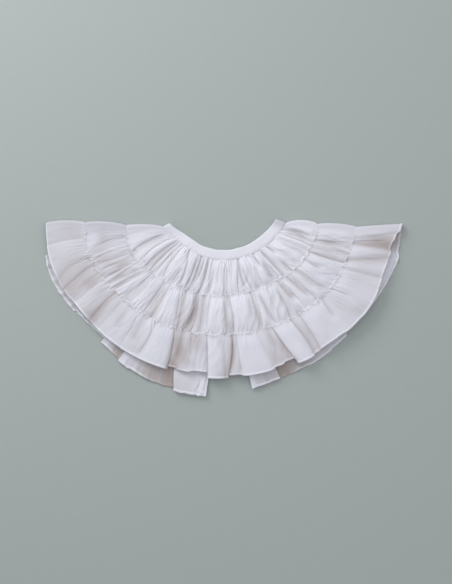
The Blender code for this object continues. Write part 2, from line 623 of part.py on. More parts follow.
def neckband(half):
    rails = rail_of("neck", half), rail_of("band_foot", half)
    both_ends = half == "front"
    share = np.linspace(0, 1, BAND_COLUMNS[half])
    outer, inner = [], []
    for height, rounding in BAND_ROWS:
        length = between(rails[0].length, rails[1].length, height)
        run = run_share(share, length, both_ends)
        plan = plan_between(*rails, run, np.full_like(run, height))
        if half == "front":
            base = front_base("neck", "band_foot", 0, rails, run, height) - BAND / 2
        elif half == "right":
            base = end_lift(run, length)
        else:
            base = 0 * run
        low, high = base + rounding, base + BAND - rounding
        up = np.column_stack([plan, high])
        down = np.column_stack([plan, low])
        outer.append(up if both_ends else down)
        inner.append(down if both_ends else up)
    turned = FOLD_Z + (SEAM_GAP / 2 if both_ends else -SEAM_GAP / 2)
    outer, inner = with_folds(np.array(outer), np.array(inner), both_ends, turned)
    name = "neckband_front" if both_ends else f"neckband_back_{half}"
    return wall(name, outer, inner, "band")


# ---- button and loop ---------------------------------------------------------------------------------
def turned_solid(name, profile, centre, colour, sides=28):
    """A solid turned about Z from (radius, height) pairs, the first and last on the axis."""
    points, faces = [], []
    for radius, height in profile[1:-1]:
        for k in range(sides):
            turn = 2 * math.pi * k / sides
            points.append((radius * math.cos(turn), radius * math.sin(turn), height))
    for ring in range(len(profile) - 3):
        for k in range(sides):
            a, b = ring * sides + k, ring * sides + (k + 1) % sides
            faces.append([a, b, b + sides, a + sides])
    last = (len(profile) - 3) * sides
    faces.append(list(range(sides))[::-1])
    faces.append([last + k for k in range(sides)])
    return node(name, np.array(points) + np.array(centre), faces, colour)


def button_place():
    """The button's centre in plan: near the right end of the neckband, in the middle of its width."""
    rails = rail_of("neck", "right"), rail_of("band_foot", "right")
    length = (rails[0].length + rails[1].length) / 2
    share = np.array([1 - BUTTON_INSET / length])
    return plan_between(*rails, share, np.array([0.5]))[0]


def back_button():
    x, y = button_place()
    top = END_LIFT - SEAM_GAP
    profile = (
        (0, 0),
        (BUTTON_RADIUS - 0.5, 0),
        (BUTTON_RADIUS, 0.5),
        (BUTTON_RADIUS, BUTTON_THICKNESS - 0.5),
        (BUTTON_RADIUS - 0.5, BUTTON_THICKNESS),
        (SHANK_RADIUS, BUTTON_THICKNESS),
        (SHANK_RADIUS, top),
        (0, top),
    )
    return turned_solid("back_button", profile, (x, y, 0), "button")


def back_loop():
    """A thread loop from the left end of the neckband round the button's shank and back."""
    x, y = button_place()
    left = rail_of("neck", "left"), rail_of("band_foot", "left")
    end = plan_between(*left, np.array([1.0, 1.0]), np.array([0.35, 0.65]))
    z = BUTTON_THICKNESS + SEAM_GAP + LOOP_THREAD / 2
    clear = LOOP_THREAD / 2 + SEAM_GAP
    turn = np.radians(np.linspace(120, -120, 13))
    bend = [(x + LOOP_BEND * math.cos(a), y + LOOP_BEND * math.sin(a), z) for a in turn]
    over_rim = x - BUTTON_RADIUS - clear
    route = [(end[0][0] + clear, end[0][1], BAND / 2), (over_rim, end[0][1], z), *bend]
    route += [(over_rim, end[1][1], z), (end[1][0] + clear, end[1][1], BAND / 2)]
    curve = bpy.data.curves.new("back_loop", "CURVE")
    curve.dimensions = "3D"
    curve.bevel_depth = LOOP_THREAD / 2 * 0.001
    curve.bevel_resolution = 2
    curve.use_fill_caps = True
    spline = curve.splines.new("POLY")
    spline.points.add(len(route) - 1)
    for point, place in zip(spline.points, route):
        point.co = (*(0.001 * c for c in place), 1)
    thing = bpy.data.objects.new("back_loop", curve)
    bpy.context.scene.collection.objects.link(thing)
    curve.materials.append(material("thread"))
    return thing


def main():
    clear_scene()
    for half in ("front", "left", "right"):
        neckband(half)
    for row in TIERS:
        tier = dict(zip(TIER_COLUMNS, row))
        front_tier(tier)
        for half in ("left", "right"):
            back_tier(tier, half)
    back_button()
    back_loop()


main()
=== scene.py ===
"""Looks of the three-tier ruffle collar: gathered cotton tiers, neckband, stitching, fastening and stage.

The script is laid out as a Blender add-on. Lengths are in millimetres on the collar and become metres
when a mesh is made. Each strip of cloth is one closed shell, from one end of the back opening round both
shoulder folds to the other, worked out as whole numpy grids: columns follow the gathers, and rows run
from the strip's gathered top to its foot.
"""

import math

import bpy
import numpy as np
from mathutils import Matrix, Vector


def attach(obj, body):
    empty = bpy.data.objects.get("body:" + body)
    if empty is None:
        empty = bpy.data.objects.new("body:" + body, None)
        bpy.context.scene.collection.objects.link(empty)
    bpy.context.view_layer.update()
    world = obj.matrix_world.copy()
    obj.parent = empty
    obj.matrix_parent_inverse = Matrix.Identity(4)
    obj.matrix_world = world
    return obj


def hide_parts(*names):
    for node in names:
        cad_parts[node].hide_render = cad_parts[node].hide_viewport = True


bl_info = {
    "name": "Ruffle collar",
    "version": (1, 0, 0),
    "blender": (4, 5, 0),
    "location": "3D View > Sidebar > Collar",
    "description": "Builds a laid-out three-tier gathered collar on its CAD frame",
    "category": "Add Mesh",
}

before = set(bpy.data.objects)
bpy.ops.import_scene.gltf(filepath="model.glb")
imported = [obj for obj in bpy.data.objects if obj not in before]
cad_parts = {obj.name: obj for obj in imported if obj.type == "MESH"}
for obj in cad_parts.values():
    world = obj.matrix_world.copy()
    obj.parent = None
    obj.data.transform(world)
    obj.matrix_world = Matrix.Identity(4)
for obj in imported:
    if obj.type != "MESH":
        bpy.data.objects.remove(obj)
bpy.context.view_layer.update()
MM = 0.001
BODY = "root"

# ---- plan of the collar, in millimetres --------------------------------------------------------------
SHOULDER = (0.8, 111.4)  # middle of the shoulder fold line
SECTION_COLUMNS = ("angle", "neck", "band_foot", "seam_2", "seam_3", "hem", "back_hem", "lift")
SECTIONS = (
    (0, 71.0, 82.5, 128.5, 182.0, 235.5, 235.5, 7.0),
    (15, 54.0, 68.5, 127.5, 181.5, 233.5, 241.0, 6.8),
    (30, 45.5, 60.0, 118.5, 170.0, 223.0, 231.5, 6.8),
    (45, 41.5, 55.0, 108.5, 161.5, 217.0, 225.0, 7.0),
    (60, 38.0, 51.5, 102.0, 155.0, 211.0, 229.0, 7.4),
    (75, 36.5, 50.0, 97.5, 150.0, 206.0, 229.5, 7.6),
    (90, 35.5, 49.0, 96.0, 147.5, 204.0, 226.0, 7.6),
    (105, 36.5, 50.0, 95.5, 148.5, 203.5, 220.5, 8.0),
    (120, 38.0, 52.5, 98.0, 152.0, 208.0, 218.5, 9.0),
    (135, 42.0, 56.5, 104.5, 158.0, 215.5, 219.5, 10.4),
    (150, 47.0, 63.0, 113.0, 165.5, 221.5, 223.0, 11.6),
    (165, 54.5, 71.0, 119.5, 169.0, 223.0, 232.0, 10.4),
    (180, 65.5, 83.0, 125.0, 176.5, 235.5, 235.5, 7.6),
)
EDGE_COLUMNS = ("edge", "start", "end", "slit_left", "slit_right", "height")
EDGES = (
    ("neck", 0.5, 184.4, 88.0, 92.5, 9.8),
    ("band_foot", 3.5, 179.6, 88.0, 92.5, 9.6),
    ("seam_2", 1.4, 179.3, 86.8, 96.5, 9.4),
    ("seam_3", -0.2, 178.3, 85.4, 98.4, 8.6),
    ("hem", -0.1, 179.8, 84.2, 99.8, 0.0),
)
# cut_* is the flat strip before it is gathered. fine_top and fine_foot count the small grooves at its two
# seams, pitch is that of its finest streaks, kept is their depth away from the seams, crumple the depth of
# its dents, the next two the painted shade on its left and right sides, the two after them the painted shade
# beside its left and right shoulder fold, and column is the width of a mesh column.
TIER_COLUMNS = ("tier", "upper", "lower", "puff", "scallop_left", "scallop_right", "cut_length", "cut_height",
                "fine_top", "fine_foot", "pitch", "kept", "crumple", "shade_left", "shade_right",
                "fold_shade_left", "fold_shade_right", "column")
TIERS = (
    ("tier_1", "band_foot", "seam_2", 3.0, 2.4, 5.2, 860.0, 52.0,
     92, 60, 2.8, 0.28, 0.8, 0.28, 0.0, 0.44, 0.22, 0.62),
    ("tier_2", "seam_2", "seam_3", 2.6, 3.4, 3.0, 1200.0, 56.0,
     110, 70, 3.6, 0.12, 0.8, 0.75, 0.4, 0.62, 0.28, 0.68),
    ("tier_3", "seam_3", "hem", 1.4, 3.2, 0.6, 1520.0, 64.0,
     120, 0, 4.4, 0.05, 0.4, 0.50, 0.3, 0.34, 0.10, 0.85),
)

# ---- gathers -----------------------------------------------------------------------------------------
# A row for each groove. top, mid and foot are its places along the front, in hundredths from the left
# shoulder fold; depth and half_width in millimetres; it shows from start to end of the tier's height.
# rise lifts the gather on its right and drop lengthens that gather's hem. skew widens the groove's right
# side and narrows its left, or the other way where it is negative.
FOLD_COLUMNS = ("top", "mid", "foot", "depth", "half_width", "start", "end", "rise", "drop", "skew")
FRONT_FOLDS = {
    "tier_1": (
        (2.4, 2.2, 2.0, 0.7, 1.5, 0.50, 1.00, 0, 0, 0),
        (3.6, 3.5, 3.6, 0.9, 1.6, 0.60, 1.00, 0, 0, 0),
        (6.6, 8.6, 10.5, 2.0, 2.0, 0.30, 0.95, 0, 0, 0.5),
        (10.4, 12.5, 15.6, 1.2, 1.1, 0.08, 0.90, 0, 0, 0.2),
        (13.6, 16.0, 18.0, 1.6, 1.7, 0.18, 1.00, -0.6, 0, 0.3),
        (15.4, 18.3, 20.4, 1.8, 1.6, 0.12, 0.85, -0.5, 0, 0.3),
        (17.4, 20.4, 22.8, 1.5, 1.3, 0.08, 0.80, 0, 0, 0.3),
        (19.4, 22.9, 26.2, 1.8, 1.2, 0.05, 0.88, 0.3, 0, 0),
        (23.4, 28.4, 30.2, 0.9, 3.0, 0.60, 0.90, 0, 0, 0),
        (23.4, 30.8, 32.3, 1.9, 1.1, 0.05, 0.78, 0, 0, 0.5),
        (30.8, 34.5, 35.3, 2.4, 1.8, 0.00, 1.00, -0.3, 0, 0.3),
        (32.8, 36.5, 36.7, 2.9, 1.8, 0.05, 1.00, 0, 0, 0.4),
        (35.9, 38.4, 39.4, 1.2, 1.2, 0.10, 0.45, 0, 0, 0),
        (38.6, 41.2, 41.2, 2.7, 2.4, 0.10, 1.00, 0, 0, -0.4),
        (41.0, 43.6, 44.9, 1.2, 1.4, 0.00, 0.85, 0, 0, 0.2),
        (43.7, 44.9, 46.0, 0.9, 1.3, 0.35, 0.65, 0, 0, 0),
        (46.2, 47.2, 48.5, 0.9, 1.3, 0.05, 0.55, 0, 0, 0),
        (49.4, 50.4, 51.0, 1.6, 1.2, 0.30, 1.00, 0, 0, 0.3),
        (51.0, 51.8, 52.2, 1.8, 1.1, 0.35, 0.90, 0, 0, -0.3),
        (53.2, 54.0, 54.6, 0.8, 1.6, 0.05, 0.30, 0, 0, 0),
        (57.0, 56.8, 56.8, 1.7, 1.4, 0.62, 0.95, 0, 0, 0.3),
        (58.3, 58.9, 60.3, 2.2, 1.5, 0.00, 0.75, 0, 0, -0.3),
        (59.6, 60.6, 62.1, 2.0, 1.4, 0.42, 1.00, 0, 0, 0.2),
        (62.6, 63.4, 64.2, 1.1, 3.0, 0.45, 0.90, 0, 0, 0),
        (66.0, 66.4, 66.4, 1.3, 1.6, 0.48, 0.90, 0, 0, 0.3),
        (69.0, 69.6, 70.0, 2.0, 1.8, 0.00, 0.28, 0, 0, -0.4),
        (71.0, 71.4, 70.9, 1.8, 2.4, 0.50, 0.80, -0.5, 0, 0),
        (73.0, 73.3, 73.4, 1.4, 1.5, 0.65, 0.92, 0, 0, 0),
        (74.0, 74.9, 75.3, 2.5, 1.6, 0.12, 0.90, 0, 0, 0.4),
        (78.8, 79.0, 79.3, 2.1, 2.4, 0.70, 0.95, 0, 0, -0.4),
        (79.2, 80.3, 80.9, 2.0, 2.8, 0.02, 0.20, 0, 0, 0),
        (81.6, 82.2, 82.8, 0.9, 2.2, 0.45, 0.75, 0, 0, 0),
        (85.2, 85.9, 86.6, 1.1, 2.2, 0.40, 0.90, 0, 0, 0.3),
        (88.0, 88.3, 89.0, 1.4, 1.6, 0.20, 1.00, 0, 0, -0.3),
        (90.4, 90.6, 91.0, 1.7, 1.3, 0.35, 1.00, -0.5, 0, 0.3),
        (91.9, 92.2, 92.4, 1.6, 1.2, 0.40, 1.00, -0.4, 0, 0),
        (93.8, 93.1, 92.8, 1.3, 1.3, 0.20, 0.90, -1.7, 0, 0),
        (94.9, 94.4, 94.0, 1.0, 1.4, 0.20, 0.80, 0.1, 0, 0),
        (97.8, 97.9, 98.0, 0.8, 1.2, 0.60, 1.00, 0, 0, 0),
    ),
    "tier_2": (
        (2.6, 2.8, 3.0, 0.7, 4.0, 0.35, 0.70, 0, 0, 0),
        (5.0, 5.9, 8.0, 0.7, 2.0, 0.10, 1.00, -0.7, 0, 0),
        (7.4, 8.1, 9.5, 0.5, 1.6, 0.00, 1.00, 0.3, 0, 0),
        (8.2, 9.0, 10.3, 0.6, 1.8, 0.00, 1.00, -1.0, 0, 0),
        (11.2, 11.5, 11.8, 1.1, 1.7, 0.00, 1.00, 0.3, 0, 0),
        (12.2, 12.8, 13.7, 0.6, 1.8, 0.05, 1.00, -1.6, 0, 0),
        (14.2, 15.4, 15.8, 1.0, 1.6, 0.00, 1.00, 0.5, 0, 0),
        (15.1, 16.3, 17.0, 0.8, 1.6, 0.00, 0.60, -1.0, 0, 0),
        (18.2, 17.9, 17.8, 0.8, 2.0, 0.00, 1.00, 0.3, 0, 0),
        (19.3, 18.9, 18.8, 0.8, 1.8, 0.35, 1.00, -1.2, 0, 0),
        (20.3, 20.0, 20.0, 0.7, 1.8, 0.30, 1.00, 0.3, 0, 0),
        (21.6, 22.6, 22.7, 0.8, 2.4, 0.00, 1.00, -0.8, 0, 0),
        (23.3, 24.7, 24.8, 0.6, 2.4, 0.00, 1.00, 0.1, 0, 0),
        (26.6, 27.1, 27.5, 0.2, 2.4, 0.10, 1.00, 0, 0, 0),
        (27.6, 28.9, 29.3, 2.1, 1.5, 0.00, 1.00, 0.3, 0, 0.2),
        (28.6, 29.7, 30.2, 0.7, 1.4, 0.10, 1.00, -1.7, 0, 0),
        (30.4, 31.5, 31.9, 0.8, 1.6, 0.10, 1.00, 0.4, 0, 0),
        (34.0, 36.8, 38.0, 1.3, 1.5, 0.00, 0.65, 0, 0, 0.4),
        (36.2, 38.2, 39.0, 2.4, 2.4, 0.00, 1.00, -0.2, 0, 0.3),
        (40.4, 41.8, 40.9, 2.0, 2.6, 0.00, 1.00, -2.4, 0, 0),
        (41.3, 43.2, 42.7, 1.7, 1.8, 0.00, 1.00, 0, 0, 0),
        (43.8, 44.8, 45.2, 1.9, 2.8, 0.05, 0.85, 0, 0, -0.4),
        (45.8, 46.5, 46.9, 1.0, 1.8, 0.10, 0.70, 0.4, 0, 0),
        (51.2, 51.8, 51.8, 1.2, 1.8, 0.00, 1.00, -1.4, 0, 0.3),
        (52.9, 54.2, 54.2, 2.0, 1.6, 0.00, 1.00, 0.5, 0, -0.4),
        (59.4, 59.9, 59.2, 0.5, 2.4, 0.30, 0.95, -0.3, 0, 0.3),
        (61.2, 61.5, 60.9, 1.2, 1.6, 0.00, 1.00, -0.9, 0, -0.2),
        (62.4, 62.5, 62.0, 0.8, 1.3, 0.00, 1.00, 0.3, 0, 0),
        (64.0, 64.8, 65.6, 1.8, 1.6, 0.25, 0.80, 0, 0, -0.3),
        (67.4, 67.2, 67.2, 0.6, 2.4, 0.00, 0.90, 0, 0, 0),
        (70.4, 70.3, 69.7, 1.3, 2.0, 0.30, 1.00, -0.7, 0, -0.4),
        (72.3, 73.1, 73.6, 2.1, 2.8, 0.18, 0.48, 0.1, 0, 0.3),
        (74.2, 74.2, 74.5, 0.9, 1.5, 0.50, 0.90, 0, 0, 0),
        (75.9, 76.9, 77.6, 1.5, 2.0, 0.00, 0.60, -0.8, 0, 0.3),
        (77.6, 78.0, 78.1, 0.8, 1.3, 0.10, 0.90, 0.3, 0, 0),
        (80.8, 81.2, 82.2, 1.6, 2.4, 0.00, 0.80, 0, 0, -0.4),
        (85.6, 85.5, 86.0, 1.6, 1.7, 0.00, 0.35, 0, 0, 0.3),
        (88.9, 89.5, 90.3, 2.1, 2.6, 0.00, 1.00, 0, 0, 0.2),
        (91.2, 92.0, 92.8, 1.4, 2.2, 0.00, 1.00, -0.2, 0, -0.3),
        (92.6, 93.3, 94.1, 0.6, 2.0, 0.00, 1.00, -1.5, 0, 0),
        (93.8, 94.5, 95.4, 0.9, 1.5, 0.00, 1.00, 0.4, 0, 0.2),
        (98.0, 98.1, 98.3, 0.6, 1.6, 0.10, 1.00, 0, 0, 0),
    ),
    "tier_3": (
        (1.8, 2.0, 2.2, 0.4, 3.0, 0.05, 0.60, -0.2, -0.8, 0),
        (4.2, 4.3, 4.4, 0.6, 1.6, 0.00, 1.00, 0.2, 0.0, -0.5),
        (9.3, 9.9, 11.8, 1.4, 5.0, 0.05, 1.00, 0, 1.0, 0.3),
        (11.5, 12.9, 14.0, 1.5, 5.0, 0.00, 1.00, -0.6, 0.8, 0),
        (13.8, 15.0, 15.9, 1.1, 4.0, 0.05, 0.40, -0.3, -0.2, 0.3),
        (16.2, 16.5, 16.9, 0.5, 2.0, 0.00, 1.00, 0.2, -0.8, -0.4),
        (18.9, 19.0, 19.2, 0.2, 2.4, 0.10, 0.70, 0, -1.0, 0),
        (20.4, 21.0, 21.7, 2.6, 3.6, 0.00, 1.00, 0, -1.0, 0.3),
        (23.3, 23.7, 24.0, 0.4, 3.6, 0.05, 0.80, 0, -1.0, 0),
        (25.8, 26.0, 26.2, 0.9, 2.6, 0.00, 0.50, 0.1, -1.0, 0.2),
        (28.6, 29.0, 29.1, 0.4, 2.4, 0.05, 1.00, -0.2, -0.6, 0.2),
        (30.4, 30.6, 30.8, 1.3, 2.8, 0.05, 0.55, 0, -0.8, 0),
        (33.3, 33.6, 32.7, 1.0, 2.2, 0.00, 0.80, 0.4, -0.8, 0),
        (38.7, 39.4, 39.4, 2.2, 1.2, 0.00, 1.00, -2.5, -5.0, -0.4),
        (40.9, 41.0, 41.3, 2.3, 2.6, 0.00, 1.00, -0.6, -3.4, 0.3),
        (43.2, 43.4, 44.0, 1.3, 2.8, 0.00, 0.42, -0.3, -6.4, 0.2),
        (47.2, 47.4, 47.4, 2.2, 1.0, 0.00, 1.00, 0.8, 1.4, -0.6),
        (51.6, 51.0, 50.6, 0.6, 2.4, 0.00, 1.00, -1.1, 1.4, 0),
        (53.6, 52.8, 51.4, 2.6, 1.6, 0.00, 1.00, -1.8, -2.2, 0.4),
        (54.7, 54.3, 54.2, 1.4, 0.9, 0.00, 0.80, 0.6, 1.2, -0.5),
        (60.2, 60.4, 60.5, 0.8, 2.2, 0.05, 1.00, -1.0, -2.5, -0.4),
        (62.4, 62.6, 62.7, 0.5, 2.4, 0.00, 0.60, -1.7, -5.5, 0),
        (64.3, 64.6, 65.2, 2.8, 1.6, 0.00, 1.00, 1.0, 3.0, -0.6),
        (69.2, 69.4, 68.7, 2.0, 1.4, 0.00, 1.00, -1.2, 0, 0.2),
        (72.0, 71.2, 70.3, 1.6, 1.4, 0.10, 1.00, 0.8, -2.5, -0.3),
        (79.0, 77.2, 76.0, 1.3, 2.6, 0.00, 0.40, -0.2, 0.1, 0.3),
        (80.8, 80.4, 80.4, 0.4, 3.6, 0.00, 0.70, 0, 1.1, 0),
        (82.6, 82.9, 83.3, 1.0, 1.7, 0.00, 0.32, 0, 1.0, 0.3),
        (86.4, 86.6, 86.6, 0.4, 3.0, 0.40, 1.00, 0, 0, 0.3),
        (88.8, 88.7, 88.8, 1.1, 2.8, 0.00, 1.00, 0, -1.2, 0.3),
        (91.2, 92.2, 93.0, 1.8, 3.8, 0.00, 1.00, 0.4, -1.5, 0),
        (95.3, 94.9, 94.5, 1.2, 2.0, 0.00, 1.00, -1.9, -4.8, 0),
        (96.1, 96.3, 96.5, 0.8, 1.6, 0.00, 0.60, -1.4, -3.0, 0),
        (97.2, 97.7, 98.3, 0.4, 3.0, 0.00, 1.00, 0.1, 1.0, 0.3),
    ),
}

# Patches of painted light and shade on the front. A patch is centred at a share of the tier's length and of
# its depth, reaches some mm along and down, and takes ply count off: above 0 it paints shade, below 0 light.
PATCH_COLUMNS = ("share", "down", "along", "reach", "plies")
PATCHES = {
    "tier_1": (
        (13.5, 0.08, 12, 6, -0.6),
        (79.4, 0.08, 5, 4, 0.7),
        (79.6, 0.80, 4, 5, 0.6),
        (93.8, 0.75, 5, 8, 0.5),
        (97.0, 0.15, 8, 9, -0.8),
    ),
    "tier_2": (
        (2.6, 0.03, 7, 5, -0.6),
        (3.4, 0.58, 9, 7, 0.5),
        (8.8, 0.75, 5, 12, 0.5),
        (11.6, 0.70, 5, 14, 0.5),
        (14.6, 0.75, 4, 10, 0.6),
        (16.6, 0.25, 4, 7, 0.6),
        (26.5, 0.60, 14, 40, -0.4),
        (38.5, 0.90, 6, 9, 0.5),
        (40.4, 0.80, 5, 14, 0.9),
        (44.9, 0.28, 7, 12, 0.35),
        (59.4, 0.95, 5, 5, -0.8),
        (70.2, 0.90, 4, 8, 0.6),
        (73.8, 0.85, 11, 11, -1.0),
        (80.0, 0.95, 26, 6, -0.7),
        (87.0, 0.40, 14, 18, 0.4),
    ),
    "tier_3": (
        (1.6, 0.35, 9, 14, 0.3),
        (14.6, 0.32, 8, 18, 0.35),
        (19.6, 0.95, 7, 14, 0.5),
        (30.1, 0.03, 8, 7, -0.5),
        (31.2, 0.80, 8, 12, 0.3),
        (42.2, 0.62, 9, 20, 0.7),
        (44.4, 0.14, 12, 17, 1.05),
        (43.6, 0.92, 14, 5, -1.0),
        (50.3, 0.15, 6, 10, 0.7),
        (50.1, 0.95, 8, 8, 0.6),
        (53.4, 0.92, 9, 6, -1.0),
        (62.4, 0.78, 6, 11, 0.6),
        (66.8, 0.60, 10, 18, -0.5),
        (77.0, 0.95, 14, 9, -0.6),
        (81.4, 0.86, 11, 9, 0.4),
        (96.8, 0.82, 8, 16, 0.8),
    ),
}
# A row for each groove of the last tier's back half, in hundredths from the shoulder fold to the back
# opening: slant moves its top, ridge is the height of the gather after it, first and last lift that gather
# off the surface at its two sides, and edge is 1 where it laps over the one before in a crisp fold. The
# last column is folded, whiter cloth and painted light above 0, and a darker thin ply and painted shade below
# 0.
BACK_FOLD_COLUMNS = ("place", "slant", "ridge", "drop", "first", "last", "edge", "plies")
BACK_FOLDS = {
    "left": (
        (6.0, 0, 1.6, -7.0, 0, 0, 0, -1.1),
        (11.9, 0, 2.2, -0.3, 0.4, 0.2, 1, -0.8),
        (19.0, 0, 1.4, -0.3, 0, 0, 0, -0.7),
        (25.5, 0, 2.0, -0.5, 0.2, 0, 1, -0.6),
        (31.0, 0, 1.6, -0.8, 0, 0, 0, -0.7),
        (37.0, 0, 1.8, -4.0, 0.2, 0.2, 1, -0.6),
        (44.0, 0, 1.4, -5.5, 0, 0.2, 0, -0.6),
        (52.9, 0, 0.8, 0.8, 1.6, 1.0, 1, -0.2),
        (58.0, -1, 0.8, 0.8, 1.0, 0.4, 0, -1.75),
        (62.7, -1, 1.2, 2.6, 2.6, 2.4, 1, -0.2),
        (67.6, -1, 1.5, 0.5, 2.2, 1.4, 0, -0.7),
        (73.0, -2, 0.9, 0.5, 1.6, 0.8, 0, -1.35),
        (78.5, -4, 1.2, -0.5, 0.8, 0.2, 0, -1.55),
        (84.3, -6, 0.6, -1.5, 0, 0, 0, -2.8),
        (87.4, -7, 0.5, 2.0, 4.2, 3.6, 1, -0.5),
        (95.2, 5, 1.7, 2.4, 3.2, 3.2, 0, 0.3),
    ),
    "right": (
        (5.5, 0, 1.4, 1.0, 0, 0, 0, -1.3),
        (11.5, 0, 1.8, 3.4, 0.3, 0, 0, 0.8),
        (18.0, 0, 2.0, 1.4, 0, 0, 0, 0.8),
        (28.0, 0, 2.0, 1.2, 0, 0, 0, 1.0),
        (40.0, 0, 2.0, -2.0, 0, 0.3, 0, 0.9),
        (53.0, 0, 1.2, 1.0, 1.0, 0.4, 1, -0.5),
        (62.0, 0, 1.6, 2.2, 0.2, 0.2, 0, -0.7),
        (74.0, 0, 1.4, 0.0, 0.2, 0.2, 0, -1.35),
        (82.5, 0, 1.0, -0.5, 0, 0, 0, -2.7),
        (87.3, 0, 0.6, -0.6, 3.2, 2.4, 1, -0.9),
        (93.7, 0, 0.8, -0.2, 3.4, 3.2, 1, -0.7),
    ),
}
# Ends of thread that have come loose at the hem. A thread starts at x, y, z, runs along its heading in
# degrees, turns by bend over its length, and sinks to the table.
LOOSE_END_COLUMNS = ("x", "y", "z", "length", "heading", "bend")
LOOSE_ENDS = (
    (-218.0, 24.5, 0.9, 5.5, -105, 55),
    (-216.8, 21.0, 0.8, 3.2, -150, -40),
    (-206.0, 3.0, 0.8, 2.6, -170, 60),
    (231.6, 83.4, 1.2, 4.2, -20, 120),
    (231.4, 81.6, 1.2, 3.0, 25, -90),
    (231.2, 79.4, 1.2, 3.6, -60, 80),
    (-23.5, -117.5, 1.2, 3.0, -30, 60),
)
BACK_GATHERS = {"tier_1": 12, "tier_2": 11}  # even gathers in each hidden half of a back tier
HIDDEN_RIDGE = 2.2  # and their height
BACK_PITCH = 1.5  # width of a mesh column of a back half
BACK_FINE = 40  # small grooves along a back half
BACK_HEM = 0.6  # thickness of the back's rolled hem as a share of the front's
BACK_CALM = 12.0  # a back half is smooth this near to its shoulder fold
END_CALM = 12.0  # and so is the front, beside both shoulder folds
BACK_SMALL, BACK_BROAD, BACK_ALONG, BACK_DOWN = 0.35, 0.25, 30, 40  # its small grooves and broad ripples
BACK_HEM_WAVES = (0.3, 15)  # height and pitch of the waves in its hem
CRUSHED, CRUSHED_RUN = 17.0, 5.0  # the last tier is crumpled this far beside the back opening's left edge
CRUSHED_PITCH, CRUSHED_HEIGHT, CRUSHED_HEM, CRUSHED_SHADE = 6.5, 1.1, (1.2, 5.5), 0.9  # its dents, its hem, and the painted shade in its dents

# ---- cloth -------------------------------------------------------------------------------------------
CROWN_SHARE = 0.14  # how high a gather stands, as a share of its width
CROWN_MOST = 2.3
SIDE_SHARE = 0.55  # height of a gather beside its grooves, as a share of its crown
FULL_CREASE = 1.2  # a groove this deep or more has the gathers beside it fall off to SIDE_SHARE,
ROUND_FROM = 2.2  # unless it is wider than this, and has a round bottom
GROOVE_SHARE = 0.85  # how much of its depth a groove takes off the gathers' relief
HOLLOW, HOLLOW_POWER, CREASE_POWER = 2.1, 1.7, 1.5  # of a groove's section, in half widths
CREASE, CREASE_LESS, CREASE_FROM, CREASE_OVER = 0.62, 0.45, 1.3, 1.5  # narrow grooves are more of a crease
OPEN_TOP, OPEN_FOOT, OPEN_MIDDLE = 0.75, 1.6, 0.5  # a groove's width at a seam, at a hem, and added between
WIDTH_VARIES = 0.35  # neighbouring grooves differ in width by this share
DARK_FULL = 3.2  # a groove this deep gets the full painted shade
SUNK_DARK, SUNK_FULL = 0.36, 2.0  # painted shade of a sunken gather for each mm, and how low it is fully sunk
SUNK_MEAN, SUNK_MORE, SUNK_ALONG, SUNK_DOWN, SUNK_SEED = 0.8, 0.5, 22.0, 34.0, 17  # ripples in that painted shade
SUNK_TOP, SUNK_MIDDLE, SUNK_FOOT = 0.4, 1.15, 0.7  # and its share at the seam above, below it and at the foot
CRISP_FROM = 2.2  # a groove this deep is a fold, past which the hem steps
LEAN_FROM, LEAN = 1.5, 0.35  # a groove this deep leans to one side by this share of its half width
AT_SEAM = 0.45  # what is left of a gather's relief where a seam holds it
AT_HEM = 0.95  # and at a free hem
HELD_TOP, HELD_FOOT = 0.3, 0.28  # the shares of a tier's depth over which its edges hold it
HEM_PUFF = 0.5  # a free hem keeps this much of its tier's puff
PUFF_RIGHT, PUFF_FROM, PUFF_OVER = 0.6, 0.65, 0.2  # from here on the front puffs out by this share only
SHOWN_OVER = 0.28  # a groove opens and closes over this share of its tier's depth
CROWN_POWER, RISE_POWER, DROP_POWER, PLIES_POWER = 4, 6, 9, 3  # how late a gather turns into the next
BESIDE_POWER = 3.2  # how near a groove its gathers fall off,
SHALLOW_CUT, ROUND_CUT = 0.15, 0.6  # and the least share of it beside a shallow groove and a wide one
CLOSE_COLUMNS = 0.55  # 0 for even mesh columns in a gather, 1 for the closest at its grooves
RISE_RUN = 42.0  # the front half reaches its full height this far from a shoulder fold
FRONT_Z = 7.9  # middle of the front half's wall where it leaves a shoulder fold
FOLD_REACH = 3.6  # how far a shoulder fold rounds outwards
TURN_STEPS = 12  # mesh steps round a shoulder fold
SCALLOP_REACH = 28.0  # a tier bulges out of the shoulder line this far from a shoulder fold
FOLD_SHADE_REACH = (21.0, 9.0)  # reach of the painted shade beside the left shoulder fold and the right one
SEAM_TUCK = 2.4  # the gathered top of a tier goes this far under the tier above,
SEAM_DIP = 1.7  # and this far down there
SEAM_PULL = 0.6  # how far a seam strays with the relief of the gathers on it
SEAM_SHARED = 5.0  # two tiers have the same relief at their seam, and their own this far from it
TUCK_ROWS, HEM_ROW = 2, -9  # mesh rows under the tier above, and the last one before the rolled hem
PLACKET, PLACKET_WIDTH = 1.3, 6.0  # thickness and width of the folded edge beside the back opening
FLOOR_GAP = 0.05  # between a back half and what it lies on
DENSE = {"tier_1": 0.9, "tier_2": 0.75, "tier_3": 0.15}  # plies that the dense gathers of a tier show
HEM_PLIES = {"front": 0.9, "back": 0.45}  # and those of the rolled hem
TOP_PLIES, FOOT_PLIES = (0.35, 6), (0.35, 5)  # and those beside the seams, with their reach
LAST_TOP_PLIES, PLACKET_PLIES = 0.3, 0.5  # those beside the last tier's seam, and of a placket

